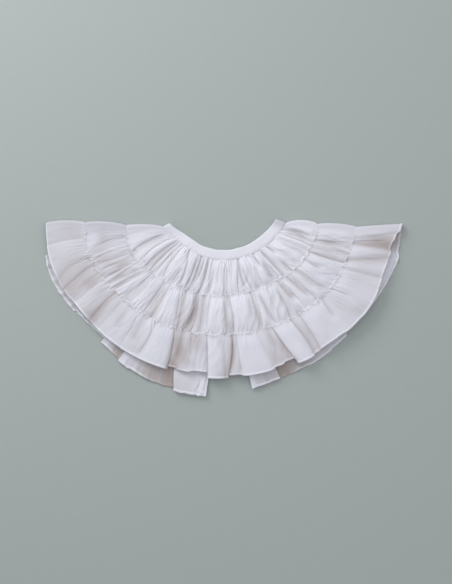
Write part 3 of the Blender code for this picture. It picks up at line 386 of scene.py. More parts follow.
# Broad ripples of the front, as height and pitches along and down, and its dents, large and small.
RIPPLE_HEIGHT, RIPPLE_ALONG, RIPPLE_DOWN = 0.5, 30.0, 60.0
DENT_PITCHES, DENT_SEEDS, SMALL_DENTS = (13.0, 6.5), (80, 90), 0.45
DENTS_LEFT, DENTS_FROM, DENTS_OVER = 0.45, 0.1, 0.3  # dents are shallower at the left, and full from here on
SIDE_SHADE_LEFT, SIDE_SHADE_RIGHT, SIDE_SHADE_OVER = 0.42, 0.55, 0.3  # where the painted shade on the sides begins, in shares of the front
GROOVE_DARK, GAP_DARK, ROPE_HIGHLIGHT = 0.14, 0.6, 0.35  # painted shade of small grooves and of gaps in the rope, and painted highlight on the rope

# A gathered seam strays by two waves, each with a height and a pitch, and by none at a shoulder fold.
WANDERS = ((0.75, 17.0), (0.35, 6.5))
WANDER_SEEDS, WANDER_NEXT, WANDER_FADE = {"front": 11, "left": 21, "right": 31}, 5, 20.0

# Small grooves beside a seam: how many are short, both reaches, half width, depth, slant, and how much wider
# they get for each millimetre.
SHORT_SHARE, SHORT_REACH, LONG_REACH = 0.7, (5, 14), (14, 34)
FINE_WIDTHS, FINE_DEPTHS, FINE_SLANT, FINE_WIDENS = (0.6, 1.15), (0.45, 1.15), 0.15, 0.04
FINE_AT_FOOT = 0.8  # depth of those above a seam, as a share of those below one

# Streaks between them: the finest and broader ones, each with a height and how far they fade from the seam
# above and the one below. They come in patches, and are calmer near a shoulder fold and in sunken gathers.
FINEST, FINEST_FADE = 0.45, (7, 6)
BROADER, BROADER_PITCH, BROADER_FADE = 0.6, 2.3, (15, 13)
PATCHY_MEAN, PATCHY_MORE, PATCHY_ALONG, PATCHY_DOWN, PATCHY_LIMITS = 0.6, 0.75, 24, 44, (0.1, 1.4)
CALM_SIDES, CALM_RUN, CALM_SUNK = 0.4, 70, 0.75

# Mesh rows of a tier above a seam or above its rolled hem, as a number and how close they are at both ends,
# and the hem's own rows as shares of its width.
SEAM_ROWS, FREE_ROWS = (42, 0.5), (32, 0.25)
HEM_START = 1.15  # in widths of the hem from its edge
HEM_ROWS = (1.0, 0.94, 0.8, 0.6, 0.4, 0.2, 0.06, 0.0)
THIN_EDGE = 0.8  # share of the wall at the hem's edge

# Beads that the gathering thread raises along a seam, and the pockets of cloth between its gathers.
BEAD_PITCH, BEAD_MEAN, BEAD_MORE, BEAD_WIDTH = 3.3, 0.45, 0.8, 1.35
BEAD_SEEDS = {"seam_2": 71, "seam_3": 72}
ROPE_HEIGHT, ROPE_CLEAR = 0.9, 1.4  # the rope of beads, and the strip beside it with no fine gathers
GAP_BELOW, GAP_WIDTH = 0.5, 2.2  # a bead lower than this leaves a gap with painted shade, so wide
POCKET_PITCH, POCKET_AWAY, POCKET_WIDTH, POCKET_DEPTH, POCKET_SHADE = 5.2, 2.7, 1.9, 0.5, 0.6
POCKET_SEEDS = {"seam_2": 344, "seam_3": 507}

# The first seeds of each tier's random draws: its broad ripples, its fine gathers and its left back half. The
# right back half's are SEED_RIGHT more.
SEED_COLUMNS = ("tier", "broad", "fine", "back")
SEEDS = (
    ("tier_1", 51, 101, 401),
    ("tier_2", 51, 202, 502),
    ("tier_3", 49, 303, 603),
)
SEED_RIGHT = 7
STITCH_SEED, BAND_STITCH_SEED = 900, 950
CRUSHED_SEEDS, PUCKER_SEEDS = (61, 62), (61, 62)

# ---- neckband, fastening and stitches ------------------------------------------------------------------
BAND = 2.4  # thickness
BAND_LENGTH, BAND_HEIGHT, BAND_CUT = 345.0, 12.0, 14.4  # sewn, and the height of the strip that shows
BAND_FOLD_SHADE = (0.35, 0.70)  # its painted shade beside the left and the right shoulder fold
BAND_STITCHES = 0.88  # share of the band's height, from the neck, at which its stitches run
BAND_COLUMNS = {"front": 260, "left": 110, "right": 110}
# Rows of the band's mesh, close at its two folds.
BAND_ROWS = (0, 0.006, 0.03, 0.07, *np.linspace(0.13, 0.93, 15), 0.965, 0.988, 0.998, 1.0)
BAND_FOOT, BAND_FOOT_FROM, BAND_FOOT_OVER = 0.6, 0.72, 0.26  # it thins towards the tier sewn into it
PUCKERS, PUCKER_PITCH, BAND_WAVES, BAND_WAVE_PITCH = 0.16, 5.0, 0.12, 22.0
END_LIFT, END_LIFT_RUN = 4.0, 26.0  # the band's right end at the back stands on its button
BUTTON_INSET = 6.5
STITCH_LENGTH, STITCH_THREAD = 1.9, 0.3
PLACKET_STITCHES = PLACKET_WIDTH - 1.0  # from the opening's edge
END_COLUMNS = 2  # mesh columns without stitches at an edge of the back opening
CLEAR_COLUMNS = {"tier": (12, 8), "band": (4, 4)}  # and beside a shoulder fold, on the front and the back
STITCH_SHARES = (-0.5, -0.38, 0.0, 0.38, 0.5)  # of a stitch's length
STITCH_HEIGHTS = (-0.2, 0.06, 0.12, 0.06, -0.2)  # off the cloth
STITCH_RADII = (0.7, 1, 1, 1, 0.7)  # as shares of the thread's radius
THREAD_SIDES = 6
LOOSE_RADII = (0.13, 0.07)  # of a loose thread, at its start and its end

# ---- stage, in metres ----------------------------------------------------------------------------------
VIEW_CENTRE = (0.0041, 0.0203)
VIEW_HEIGHT = 0.7709  # what the camera's view covers at VIEW_LEVEL
VIEW_LEVEL = 0.008
CAMERA_HEIGHT = 1.6
SENSOR = 36.0  # width of the camera's sensor, in millimetres
LIGHTS = (  # name, place, target, size, power, colour
    ("key", (-0.85, 1.15, 0.85), (0.0, 0.0, 0.0), 0.8, 12.0, (0.985, 0.985, 1.0)),
    ("top", (0.1, 0.3, 1.9), (0.0, 0.0, 0.0), 2.2, 12.0, (0.95, 0.96, 1.0)),
)
WORLD_COLOUR = (0.95, 0.955, 1.0)
WORLD_STRENGTH = 0.38
FLOOR_SIZE, FLOOR_DROP = 40.0, 0.0002  # the floor lies just below what rests on it

# ---- finishes ------------------------------------------------------------------------------------------
# Cotton's patterns over the flat cut, in waves a metre, and the share that each has in the colour.
THREAD_RUN = 0.03  # along a thread its pattern is this much slower than across it
SLUBS_ALONG, SLUBS_DOWN = (60.0, 900.0, 1.0), (700.0, 50.0, 1.0)
CLOUDS, CRINKLES = (30.0, 30.0, 1.0), (260.0, 90.0, 1.0)
SLUB_TONE, THREAD_TONE, TONES = 0.3, 0.2, (0.93, 1.07)
CLOUD_TONE, CLOUD_TINT, CLOUD_DARK = 0.35, (0.97, 0.985, 1.0), 0.98
GREY_SHADE_FROM, GREY_SHADE_RATE = 0.6, 3.3  # above this ply count the painted shade in gathers turns from the warm thin-ply shade to the grey one
DEEP_TONE = 0.9  # share of the painted shade's darkest tone in the deepest groove
COTTON_ROUGH, SLUB_ROUGH = 0.86, 0.05
SLUB_HEIGHT, WEAVE_BUMP, CRINKLE_BUMP = 0.9, (0.12, 0.0001), (0.3, 0.0005)  # a bump's strength and depth
COTTON_SHEEN, SHEEN_ROUGH, COTTON_SPECULAR = 0.12, 0.5, 0.3

# Scale and detail of a finish's pattern, how dark and light it turns the colour, and its roughness, least
# and added.
FINISH_COLUMNS = ("finish", "scale", "detail", "darkest", "lightest", "rough", "rougher")
FINISHES = (
    ("thread", 4000.0, 1.0, 0.9, 1.06, 0.6, 0.2),
    ("button", 220.0, 4.0, 0.88, 1.08, 0.22, 0.2),
    ("floor", 90.0, 3.0, 0.985, 1.015, 0.95, 0.0),
)


class ClothSizes(bpy.types.PropertyGroup):
    """Sizes of the cloth that a user may change."""

    wall: bpy.props.FloatProperty(
        name="Cloth thickness", description="Thickness of a tier's cloth", default=0.00045, unit="LENGTH"
    )
    hem: bpy.props.FloatProperty(
        name="Rolled hem", description="Thickness of the rolled hem", default=0.0017, unit="LENGTH"
    )
    hem_width: bpy.props.FloatProperty(
        name="Hem width", description="Width of the rolled hem", default=0.003, unit="LENGTH"
    )
    fine_depth: bpy.props.FloatProperty(
        name="Fine gathers", description="Depth of the fine gathers beside a seam",
        default=0.0007, unit="LENGTH",
    )
    thread_pitch: bpy.props.FloatProperty(
        name="Thread pitch", description="Distance between two threads of the weave",
        default=0.0005, unit="LENGTH",
    )
    stitch_pitch: bpy.props.FloatProperty(
        name="Stitch pitch", description="Length of one stitch with its gap", default=0.0027, unit="LENGTH"
    )


class ClothColours(bpy.types.PropertyGroup):
    """Colours of the collar and of the stage."""

    cloth: bpy.props.FloatVectorProperty(
        name="Cloth", description="White cotton of the tiers", default=(0.83, 0.835, 0.90), subtype="COLOR"
    )
    # Partly a thin ply's own darker look, partly painted shade.
    single: bpy.props.FloatVectorProperty(
        name="Single ply", description="Cotton in a single ply",
        default=(0.58, 0.545, 0.545), subtype="COLOR",
    )
    # Folded cloth is whiter: partly its own colour, partly painted light where the ply count is raised.
    layered: bpy.props.FloatVectorProperty(
        name="Layered cloth", description="Cotton in several layers",
        default=(0.91, 0.915, 0.98), subtype="COLOR",
    )
    # Painted shade deep in a fold where the cloth is thin.
    hollow: bpy.props.FloatVectorProperty(
        name="Thin hollows", description="A single ply deep in a fold",
        default=(0.459, 0.398, 0.373), subtype="COLOR",
    )
    # Painted shade deep in the gathers where the cloth is dense.
    valley: bpy.props.FloatVectorProperty(
        name="Deep gathers", description="Cloth deep in the gathers",
        default=(0.50, 0.475, 0.495), subtype="COLOR",
    )
    # Painted shade: a grey that darkens the cloth beside a shoulder fold.
    turned: bpy.props.FloatVectorProperty(
        name="Turned down", description="Cloth beside a shoulder fold",
        default=(0.50, 0.50, 0.55), subtype="COLOR",
    )
    band: bpy.props.FloatVectorProperty(
        name="Neckband", description="White cotton of the binding",
        default=(0.92, 0.925, 0.98), subtype="COLOR",
    )
    thread: bpy.props.FloatVectorProperty(
        name="Thread", description="Sewing thread", default=(0.86, 0.86, 0.88), subtype="COLOR"
    )
    button: bpy.props.FloatVectorProperty(
        name="Button", description="Shell button", default=(0.84, 0.82, 0.78), subtype="COLOR"
    )
    floor: bpy.props.FloatVectorProperty(
        name="Floor", description="Plain floor", default=(0.46, 0.51, 0.485), subtype="COLOR"
    )


def sizes():
    """The sizes that a user may have changed."""
    return bpy.context.scene.collar_sizes


def colours():
    """The colours that a user may have changed."""
    return bpy.context.scene.collar_colours


# ---- curves and small formulas -----------------------------------------------------------------------
def column(rows, names, name):
    """One named column of a table, as an array of numbers."""
    return np.array([row[names.index(name)] for row in rows], float)


def row_of(rows, names, key):
    """The row whose first cell is key, as a dictionary."""
    return next(dict(zip(names, row)) for row in rows if row[0] == key)


def through(places, values, at):
    """A smooth curve through table values: between two of them, the cubic with their values and slopes."""
    slope = np.gradient(values, places)
    at = np.asarray(at, float)
    i = np.clip(np.searchsorted(places, at, side="right") - 1, 0, len(places) - 2)
    step = places[i + 1] - places[i]
    u = (at - places[i]) / step
    start = (2 * u**3 - 3 * u**2 + 1) * values[i] + (u**3 - 2 * u**2 + u) * step * slope[i]
    finish = (3 * u**2 - 2 * u**3) * values[i + 1] + (u**3 - u**2) * step * slope[i + 1]
    return start + finish


def ease(x):
    """0 to 1 with a soft start and finish: 3 x squared less 2 x cubed."""
    x = np.clip(x, 0, 1)
    return x * x * (3 - 2 * x)


def between(start, finish, share):
    """The value that lies a share of the way from start to finish."""
    return start + (finish - start) * share


def hump(x, width):
    """A rounded hump: e to the minus (x over width) squared."""
    return np.exp(-((x / width) ** 2))


def waves(x, pitch, seed):
    """Uneven waves, from -1 to 1: the mean of six sines with pitches near the given one."""
    rng = np.random.default_rng(seed)
    total = 0.0
    for _ in range(6):
        total = total + np.sin(2 * math.pi * (x / (pitch * rng.uniform(0.6, 1.7)) + rng.random()))
    return total / 3


def ripples(x, y, pitch_x, pitch_y, seed):
    """Uneven waves over a surface: the mean of seven plane sines in random directions."""
    rng = np.random.default_rng(seed)
    total = 0.0
    for _ in range(7):
        turn = rng.uniform(0, 2 * math.pi)
        along = x / pitch_x * math.cos(turn) + y / pitch_y * math.sin(turn)
        total = total + np.sin(2 * math.pi * (along * rng.uniform(0.7, 1.4) + rng.random()))
    return total / 3


def streaks(across, down, pitch, seed):
    """Fine folds that run with the gathers, rounded between sharp hollows: the size of a sum of sines.

    Broad ripples bend them, so no two run quite side by side.
    """
    rng = np.random.default_rng(seed)
    total = 0.0
    across = across + 0.55 * pitch * ripples(across, down, 7 * pitch, 10 * pitch, seed + 40)
    for _ in range(5):
        slanted = across + rng.normal(0, 0.05) * down
        total = total + np.sin(2 * math.pi * (slanted / (pitch * rng.uniform(0.7, 1.5)) + rng.random()))
    return np.abs(total) / 1.8 - 0.7


def crumples(across, down, pitch, seed):
    """Long shallow dents between crisp ridges: a half less the size of uneven waves that ripples bend."""
    bend = 0.6 * pitch * ripples(across, down, 4 * pitch, 6 * pitch, seed + 1)
    return 0.5 - np.abs(ripples(across + bend, down, pitch, 6 * pitch, seed))


class Rail:
    """One edge of the collar in plan, read by the share of its length from first to last angle."""

    SAMPLES = 700

    def __init__(self, reach_at, first, last):
        self.angles = np.linspace(first, last, self.SAMPLES)
        turn = np.radians(self.angles)
        reach = reach_at(self.angles)
        self.points = np.stack([SHOULDER[0] - reach * np.cos(turn), SHOULDER[1] - reach * np.sin(turn)], 1)
        steps = np.linalg.norm(np.diff(self.points, axis=0), axis=1)
        self.along = np.concatenate([[0], np.cumsum(steps)])
        self.length = self.along[-1]

    def at(self, share):
        """Points in plan at some shares of the length."""
        where = np.asarray(share) * self.length
        return np.stack([np.interp(where, self.along, self.points[:, k]) for k in (0, 1)], -1)

    def angle(self, share):
        """Angles about the middle of the shoulder line at some shares of the length."""
        return np.interp(np.asarray(share) * self.length, self.along, self.angles)


def section_curve(name):
    """A column of SECTIONS as a smooth curve over the angle."""
    places, values = column(SECTIONS, SECTION_COLUMNS, "angle"), column(SECTIONS, SECTION_COLUMNS, name)
    return lambda at: through(places, values, at)


def back_curve(edge):
    """A back edge keeps its front edge's share of the way from the neckband to the longer back hem."""
    foot, hem, long_hem = section_curve("band_foot"), section_curve("hem"), section_curve("back_hem")
    own = section_curve(edge)
    if edge == "neck":
        return own
    return lambda at: between(foot(at), long_hem(at), (own(at) - foot(at)) / (hem(at) - foot(at)))


def rail_of(edge, half):
    """The rail of an edge of one half: front, left or right. Each starts on a shoulder fold."""
    facts = row_of(EDGES, EDGE_COLUMNS, edge)
    if half == "front":
        return Rail(section_curve(edge), facts["start"], facts["end"])
    first = facts["start"] if half == "left" else facts["end"]
    return Rail(back_curve(edge), first, facts["slit_" + half])


# ---- gathered cloth ----------------------------------------------------------------------------------
def fold_table(rows, names):
    """Every column of a table of grooves, by name."""
    return {name: column(rows, names, name) for name in names}


def seed_of(tier, use):
    """The first seed of a tier's random draws for a use."""
    return row_of(SEEDS, SEED_COLUMNS, tier["tier"])[use]


def groove_places(folds, height, length):
    """Each groove's share of the run at each height: the parabola through its top, mid and foot.

    The run leaves out what the shoulder folds take at both ends. Those ends are added as places, so the
    result has one row a height and two more columns than grooves.
    """
    h, start = height[:, None], FOLD_REACH / length
    top, mid, foot = (folds[name][None] / 100 for name in ("top", "mid", "foot"))
    inner = top * (1 - h) * (1 - 2 * h) + mid * 4 * h * (1 - h) + foot * h * (2 * h - 1)
    inner = (inner - start) / (1 - 2 * start)
    rows = len(height)
    return np.concatenate([np.zeros((rows, 1)), inner, np.ones((rows, 1))], axis=1)


def showing(folds, height):
    """How much of each groove shows at a height: none past its start or end."""
    h = height[:, None]
    opened = np.where(folds["start"] < 0.01, 1, ease((h - folds["start"] + SHOWN_OVER) / SHOWN_OVER))
    closed = np.where(folds["end"] > 0.99, 1, ease((folds["end"] + SHOWN_OVER - h) / SHOWN_OVER))
    edge = np.zeros((len(height), 1))
    return np.concatenate([edge, opened * closed, edge], axis=1)


def held(height, free_foot):
    """What is left of the relief at a height of a tier: all of it in the middle, less at its edges."""
    foot = AT_HEM if free_foot else AT_SEAM
    below = between(AT_SEAM, 1, ease(height / HELD_TOP))
    return below * between(1, foot, ease((height - 1 + HELD_FOOT) / HELD_FOOT))


def gather_columns(widths, pitch, fewest):
    """Columns over a row of gathers: the gather's number and the share of its width, close at grooves."""
    number, share = [], []
    for k, width in enumerate(widths):
        count = max(fewest, round(width / pitch))
        step = np.arange(count) / count
        number.append(np.full(count, k))
        share.append(between(step, 0.5 - 0.5 * np.cos(math.pi * step), CLOSE_COLUMNS))
    number.append([len(widths) - 1])
    share.append([1.0])
    return np.concatenate(number).astype(int), np.concatenate(share)


def tier_rows(tier, line):
    """Heights of a tier's rows, from 0 at its upper seam to 1 at its foot, and its depth in millimetres.

    The first row is tucked under the seam. The last tier has close rows over its rolled hem.
    """
    tuck = -SEAM_TUCK / line
    free = tier["lower"] == "hem"
    count, close = FREE_ROWS if free else SEAM_ROWS
    t = np.linspace(0, 1, count)
    inner = between(t, 0.5 - 0.5 * np.cos(math.pi * t), close)
    if not free:
        return np.concatenate([[tuck, 0.5 * tuck], inner])
    hem = sizes().hem_width / MM
    inner = inner * (1 - HEM_START * hem / line)
    return np.concatenate([[tuck, 0.5 * tuck], inner, 1 - hem / line * np.array(HEM_ROWS)])


def wall_at(tier, height, line, full=1.0):
    """Thickness of the cloth at each height: a half round over the rolled hem, and thin at its edge."""
    wall = sizes().wall / MM
    if tier["lower"] != "hem":
        return np.full_like(height, wall)
    hem, bead = sizes().hem_width / MM, sizes().hem / MM
    across = np.clip((1 - height) * line / hem, 0, 1)
    round_part = np.sqrt(np.clip(1 - (2 * across - 1) ** 2, 0, 1))
    edge = wall * THIN_EDGE
    return np.where(across < 1, np.maximum(between(edge, bead * full, round_part), edge), wall)


def seam_wander(share, length, seed):
    """How far a gathered seam strays from its smooth line, in millimetres towards the hem: two waves."""
    along = share * length
    return sum(height * waves(along, pitch, seed + k) for k, (height, pitch) in enumerate(WANDERS))


def wander_of(edge, share, length, half):
    """The stray of an edge of a tier. Both tiers that meet at it read the same one.

    On the front, each large gather also pulls the seam down and each groove pulls it up.
    """
    if edge in ("band_foot", "neck", "hem"):
        return np.zeros_like(share)
    seed = WANDER_SEEDS[half] + WANDER_NEXT * (edge == "seam_3")
    fade = ease(share * length / WANDER_FADE) * ease((1 - share) * length / WANDER_FADE)
    pulled = SEAM_PULL * seam_relief(edge, share) if half == "front" else 0.0
    return (seam_wander(share, length, seed) + pulled) * fade


def fine_gathers(share, path, away_mm, length, count, seed):
    """Small grooves that run from a seam: the sum of narrow humps that fade with the distance to it.

    path gives the share of each small groove at each height, so they follow the gathers they lie on.
    """
    rng = np.random.default_rng(seed)
    total = np.zeros_like(share)
    for k in range(count):
        reach = rng.uniform(*SHORT_REACH) if rng.random() < SHORT_SHARE else rng.uniform(*LONG_REACH)
        width = rng.uniform(*FINE_WIDTHS)
        deep = rng.uniform(*FINE_DEPTHS)
        away = (share - path[:, k : k + 1]) * length + rng.normal(0, FINE_SLANT) * away_mm
        total += deep * hump(away, width * (1 + FINE_WIDENS * away_mm)) * (1 - ease(away_mm / reach))
    return total


def fine_paths(places, count, seed):
    """Shares of the small grooves at each height. Each keeps its place within its gather."""
    rng = np.random.default_rng(seed)
    start = (np.arange(count) + rng.uniform(0.1, 0.9, count)) / count
    gather = np.interp(start, places[0], np.arange(places.shape[1]))
    return np.stack([np.interp(gather, np.arange(places.shape[1]), line) for line in places])


def scallop(tier, share, height, length, half):
    """How far a tier bulges out of the shoulder line, near its shoulder folds."""
    bulge = np.sin(math.pi * np.clip(height, 0, 1)) ** 0.55
    left = tier["scallop_left"] * hump(share * length, SCALLOP_REACH)
    right = tier["scallop_right"] * hump((1 - share) * length, SCALLOP_REACH)
    if half == "front":
        return (left + right) * bulge
    own = tier["scallop_left"] if half == "left" else tier["scallop_right"]
    return own * hump(share * length, SCALLOP_REACH) * bulge


def side_blend(share, own, left, right, power, crisp_left=0.0, crisp_right=0.0):
    """own inside a gather, and the mean with its neighbour's at each side that isn't crisp."""
    to_left, to_right = (1 - share) ** power * (1 - crisp_left), share**power * (1 - crisp_right)
    return own * (1 - to_left - to_right) + left * to_left + right * to_right


def per_gather(values, number):
    """A value for each gather as (own, mean with the left one, mean with the right one) by column."""
    padded = np.concatenate([values[..., :1], values, values[..., -1:]], axis=-1)
    mean = (padded[..., :-1] + padded[..., 1:]) / 2
    return values[..., number], mean[..., number], mean[..., number + 1]


def valley(away, crease):
    """Depth of a groove over its half width: a narrow crease, as much as given, in a wider hollow."""
    wide = np.exp(-((away / HOLLOW) ** HOLLOW_POWER))
    return crease * np.exp(-(away**CREASE_POWER)) + (1 - crease) * wide


def groove_sides(folds, free_foot, inside, number, share, gap, shown):
    """How deep each point lies in the grooves on its left and right, as shares, with their depths and lean.

    Grooves differ a little in width, by a sine over their number, and are narrow where a seam holds them.
    """
    depth, width, skew = (np.concatenate([[0], folds[name], [0]]) for name in ("depth", "half_width", "skew"))
    width[[0, -1]] = 1.0
    lean = LEAN * width * (depth >= LEAN_FROM)
    width = width * (1 + WIDTH_VARIES * np.sin(2.6 * np.arange(len(width)) + 1))
    at_hem = between(OPEN_TOP, OPEN_FOOT, inside)
    opening = (at_hem if free_foot else OPEN_TOP + OPEN_MIDDLE * np.sin(math.pi * inside))[:, None]
    crease = CREASE - CREASE_LESS * ease((width - CREASE_FROM) / CREASE_OVER)
    left = valley(share * gap / (width * (1 + skew))[number] / opening, crease[number])
    right = valley((1 - share) * gap / (width * (1 - skew))[number + 1] / opening, crease[number + 1])
    return left * shown[:, number], right * shown[:, number + 1], depth, width, lean


def main_folds(tier, inside):
    """The front half's large gathers at some heights: where each column runs, and its relief.

    Relief is the crown of the gather and its rise, less each groove's depth times its valley. A groove is
    narrow at the seams and opens between them, or all the way to a free hem.
    """
    rails = rail_of(tier["upper"], "front"), rail_of(tier["lower"], "front")
    length = between(rails[0].length, rails[1].length, inside)[:, None]
    folds = fold_table(FRONT_FOLDS[tier["tier"]], FOLD_COLUMNS)
    mean = (rails[0].length + rails[1].length) / 2
    widths = np.diff(groove_places(folds, np.linspace(0, 1, 5), mean), axis=1).mean(axis=0) * mean
    number, share = gather_columns(widths, tier["column"], 10)
    places, shown = groove_places(folds, inside, length), showing(folds, inside)
    gaps = np.diff(places, axis=1) * length
    run = places[:, number] + share * (places[:, number + 1] - places[:, number])
    free_foot = tier["lower"] == "hem"
    sides = groove_sides(folds, free_foot, inside, number, share, gaps[:, number], shown)
    left, right, depth, width, lean = sides

    crown = side_blend(share, *per_gather(np.minimum(CROWN_MOST, CROWN_SHARE * gaps), number), CROWN_POWER)
    rise = side_blend(share, *per_gather(np.concatenate([[0], folds["rise"]]), number), RISE_POWER)
    crisp = 1.0 * (depth >= CRISP_FROM)
    drop = per_gather(np.concatenate([folds["drop"][:1], folds["drop"]]), number)
    drop = side_blend(share, *drop, DROP_POWER, crisp[number], crisp[number + 1])
    beside = np.abs(1 - 2 * share) ** BESIDE_POWER
    beside = beside * np.where(share < 0.5, shown[:, number], shown[:, number + 1])
    cut = np.clip(depth / FULL_CREASE, SHALLOW_CUT, 1) * np.clip(ROUND_FROM / width, ROUND_CUT, 1)
    beside = beside * np.where(share < 0.5, cut[number], cut[number + 1])
    pillow = crown * (1 - (1 - SIDE_SHARE) * beside)
    groove = depth[number] * left + depth[number + 1] * right
    # Painted shade in each groove, darker the deeper and nearer its bottom, and in sunken gathers, in uneven
    # ripples.
    dark = (left**2 * depth[number] + right**2 * depth[number + 1]) / DARK_FULL
    across = (run * length)[len(run) // 2]
    uneven = SUNK_MEAN + SUNK_MORE * ripples(across, 60 * inside[:, None], SUNK_ALONG, SUNK_DOWN, SUNK_SEED)
    if tier["tier"] != "tier_1":
        paler = between(SUNK_TOP, SUNK_MIDDLE, ease(inside / 0.65))
        uneven = uneven * (paler * between(1, SUNK_FOOT, ease((inside - 0.88) / 0.12)))[:, None]
    keep = held(inside, free_foot)[:, None]
    return {
        "run": run,
        "length": length,
        "places": places,
        "relief": (pillow + rise - GROOVE_SHARE * groove) * keep,
        "lean": -(lean[number] * left + lean[number + 1] * right) * keep,
        "deep": dark + SUNK_DARK * np.clip(-rise, 0, 3) * uneven,
        "drop": drop,
        "sunk": ease(np.clip(-rise, 0, SUNK_FULL) / SUNK_FULL),
    }


def seam_relief(edge, run):
    """Relief of a gathered seam: the mean of what the two tiers that meet at it would have there."""
    total = 0.0
    for name, place in (("lower", 1.0), ("upper", 0.0)):
        tier = next(made for made in (dict(zip(TIER_COLUMNS, row)) for row in TIERS) if made[name] == edge)
        folds = main_folds(tier, np.array([place]))
        total = total + np.interp(run, folds["run"][0], folds["relief"][0]) / 2
    return total


def small_folds(tier, folds, down_mm, up_mm):
    """Relief of the fine gathers: small grooves and streaks, finer and deeper towards a gathered seam."""
    run, length, places = folds["run"], folds["length"], folds["places"]
    seed = seed_of(tier, "fine")
    across = (run * length)[len(run) // 2][None]
    paths = fine_paths(places, tier["fine_top"], seed)
    grooves = fine_gathers(run, paths, down_mm, length, tier["fine_top"], seed + 1)
    if tier["fine_foot"]:
        paths = fine_paths(places, tier["fine_foot"], seed + 2)
        at_foot = fine_gathers(run, paths, up_mm, length, tier["fine_foot"], seed + 3)
        grooves = grooves + FINE_AT_FOOT * at_foot
    patches = ripples(across, down_mm, PATCHY_ALONG, PATCHY_DOWN, seed + 8)
    patchy = np.clip(PATCHY_MEAN + PATCHY_MORE * patches, *PATCHY_LIMITS)
    near = np.exp(-down_mm / FINEST_FADE[0]) + np.exp(-up_mm / FINEST_FADE[1])
    relief = FINEST * patchy * near * streaks(across, down_mm, tier["pitch"], seed + 6)
    near = np.exp(-down_mm / BROADER_FADE[0]) + np.exp(-up_mm / BROADER_FADE[1])
    near = BROADER * near + tier["kept"]
    relief = relief + patchy * near * streaks(across, down_mm, BROADER_PITCH * tier["pitch"], seed + 7)
    calm = between(CALM_SIDES, 1, ease(np.minimum(run, 1 - run) * length / CALM_RUN))
    calm = calm * (1 - CALM_SUNK * folds["sunk"])
    return (relief - sizes().fine_depth / MM * grooves) * calm, grooves * calm


def seam_detail(edge, row, away, rail, run, relief):
    """What the gathering thread does at a seam: new relief, its rope of beads, painted shade in gaps and
    pockets, and free cloth.

    Near the seam the relief turns into the one that both tiers share. Beads are fine streaks along the seam
    times a hump across it, with gaps where they are low. Pockets are broader streaks times a hump beside it.
    """
    along = run[row] * rail.length
    relief = relief + (seam_relief(edge, run[row]) - relief[row]) * np.exp(-away / SEAM_SHARED)
    beads = BEAD_MEAN + BEAD_MORE * streaks(along, 0, BEAD_PITCH, BEAD_SEEDS[edge])
    gaps = np.clip(GAP_BELOW - beads, 0, 1) * hump(away, GAP_WIDTH)
    pockets = np.clip(streaks(along, 0, POCKET_PITCH, POCKET_SEEDS[edge]) - 0.1, 0, 1)
    pockets = pockets * hump(away - POCKET_AWAY, POCKET_WIDTH)
    relief = relief - POCKET_DEPTH * pockets
    return relief, beads * hump(away, BEAD_WIDTH), gaps + POCKET_SHADE * pockets, 1 - hump(away, ROPE_CLEAR)


def patch_light_and_shade(tier, run, length, down_mm, line):
    """Painted light and shade as ply count taken off: for each patch, a hump along the tier times a hump down
    it.
    """
    total = 0.0
    for row in PATCHES[tier["tier"]]:
        patch = dict(zip(PATCH_COLUMNS, row))
        taken = patch["plies"] * hump((run - patch["share"] / 100) * length, patch["along"])
        total = total + taken * hump(down_mm - patch["down"] * line, patch["reach"])
    return total


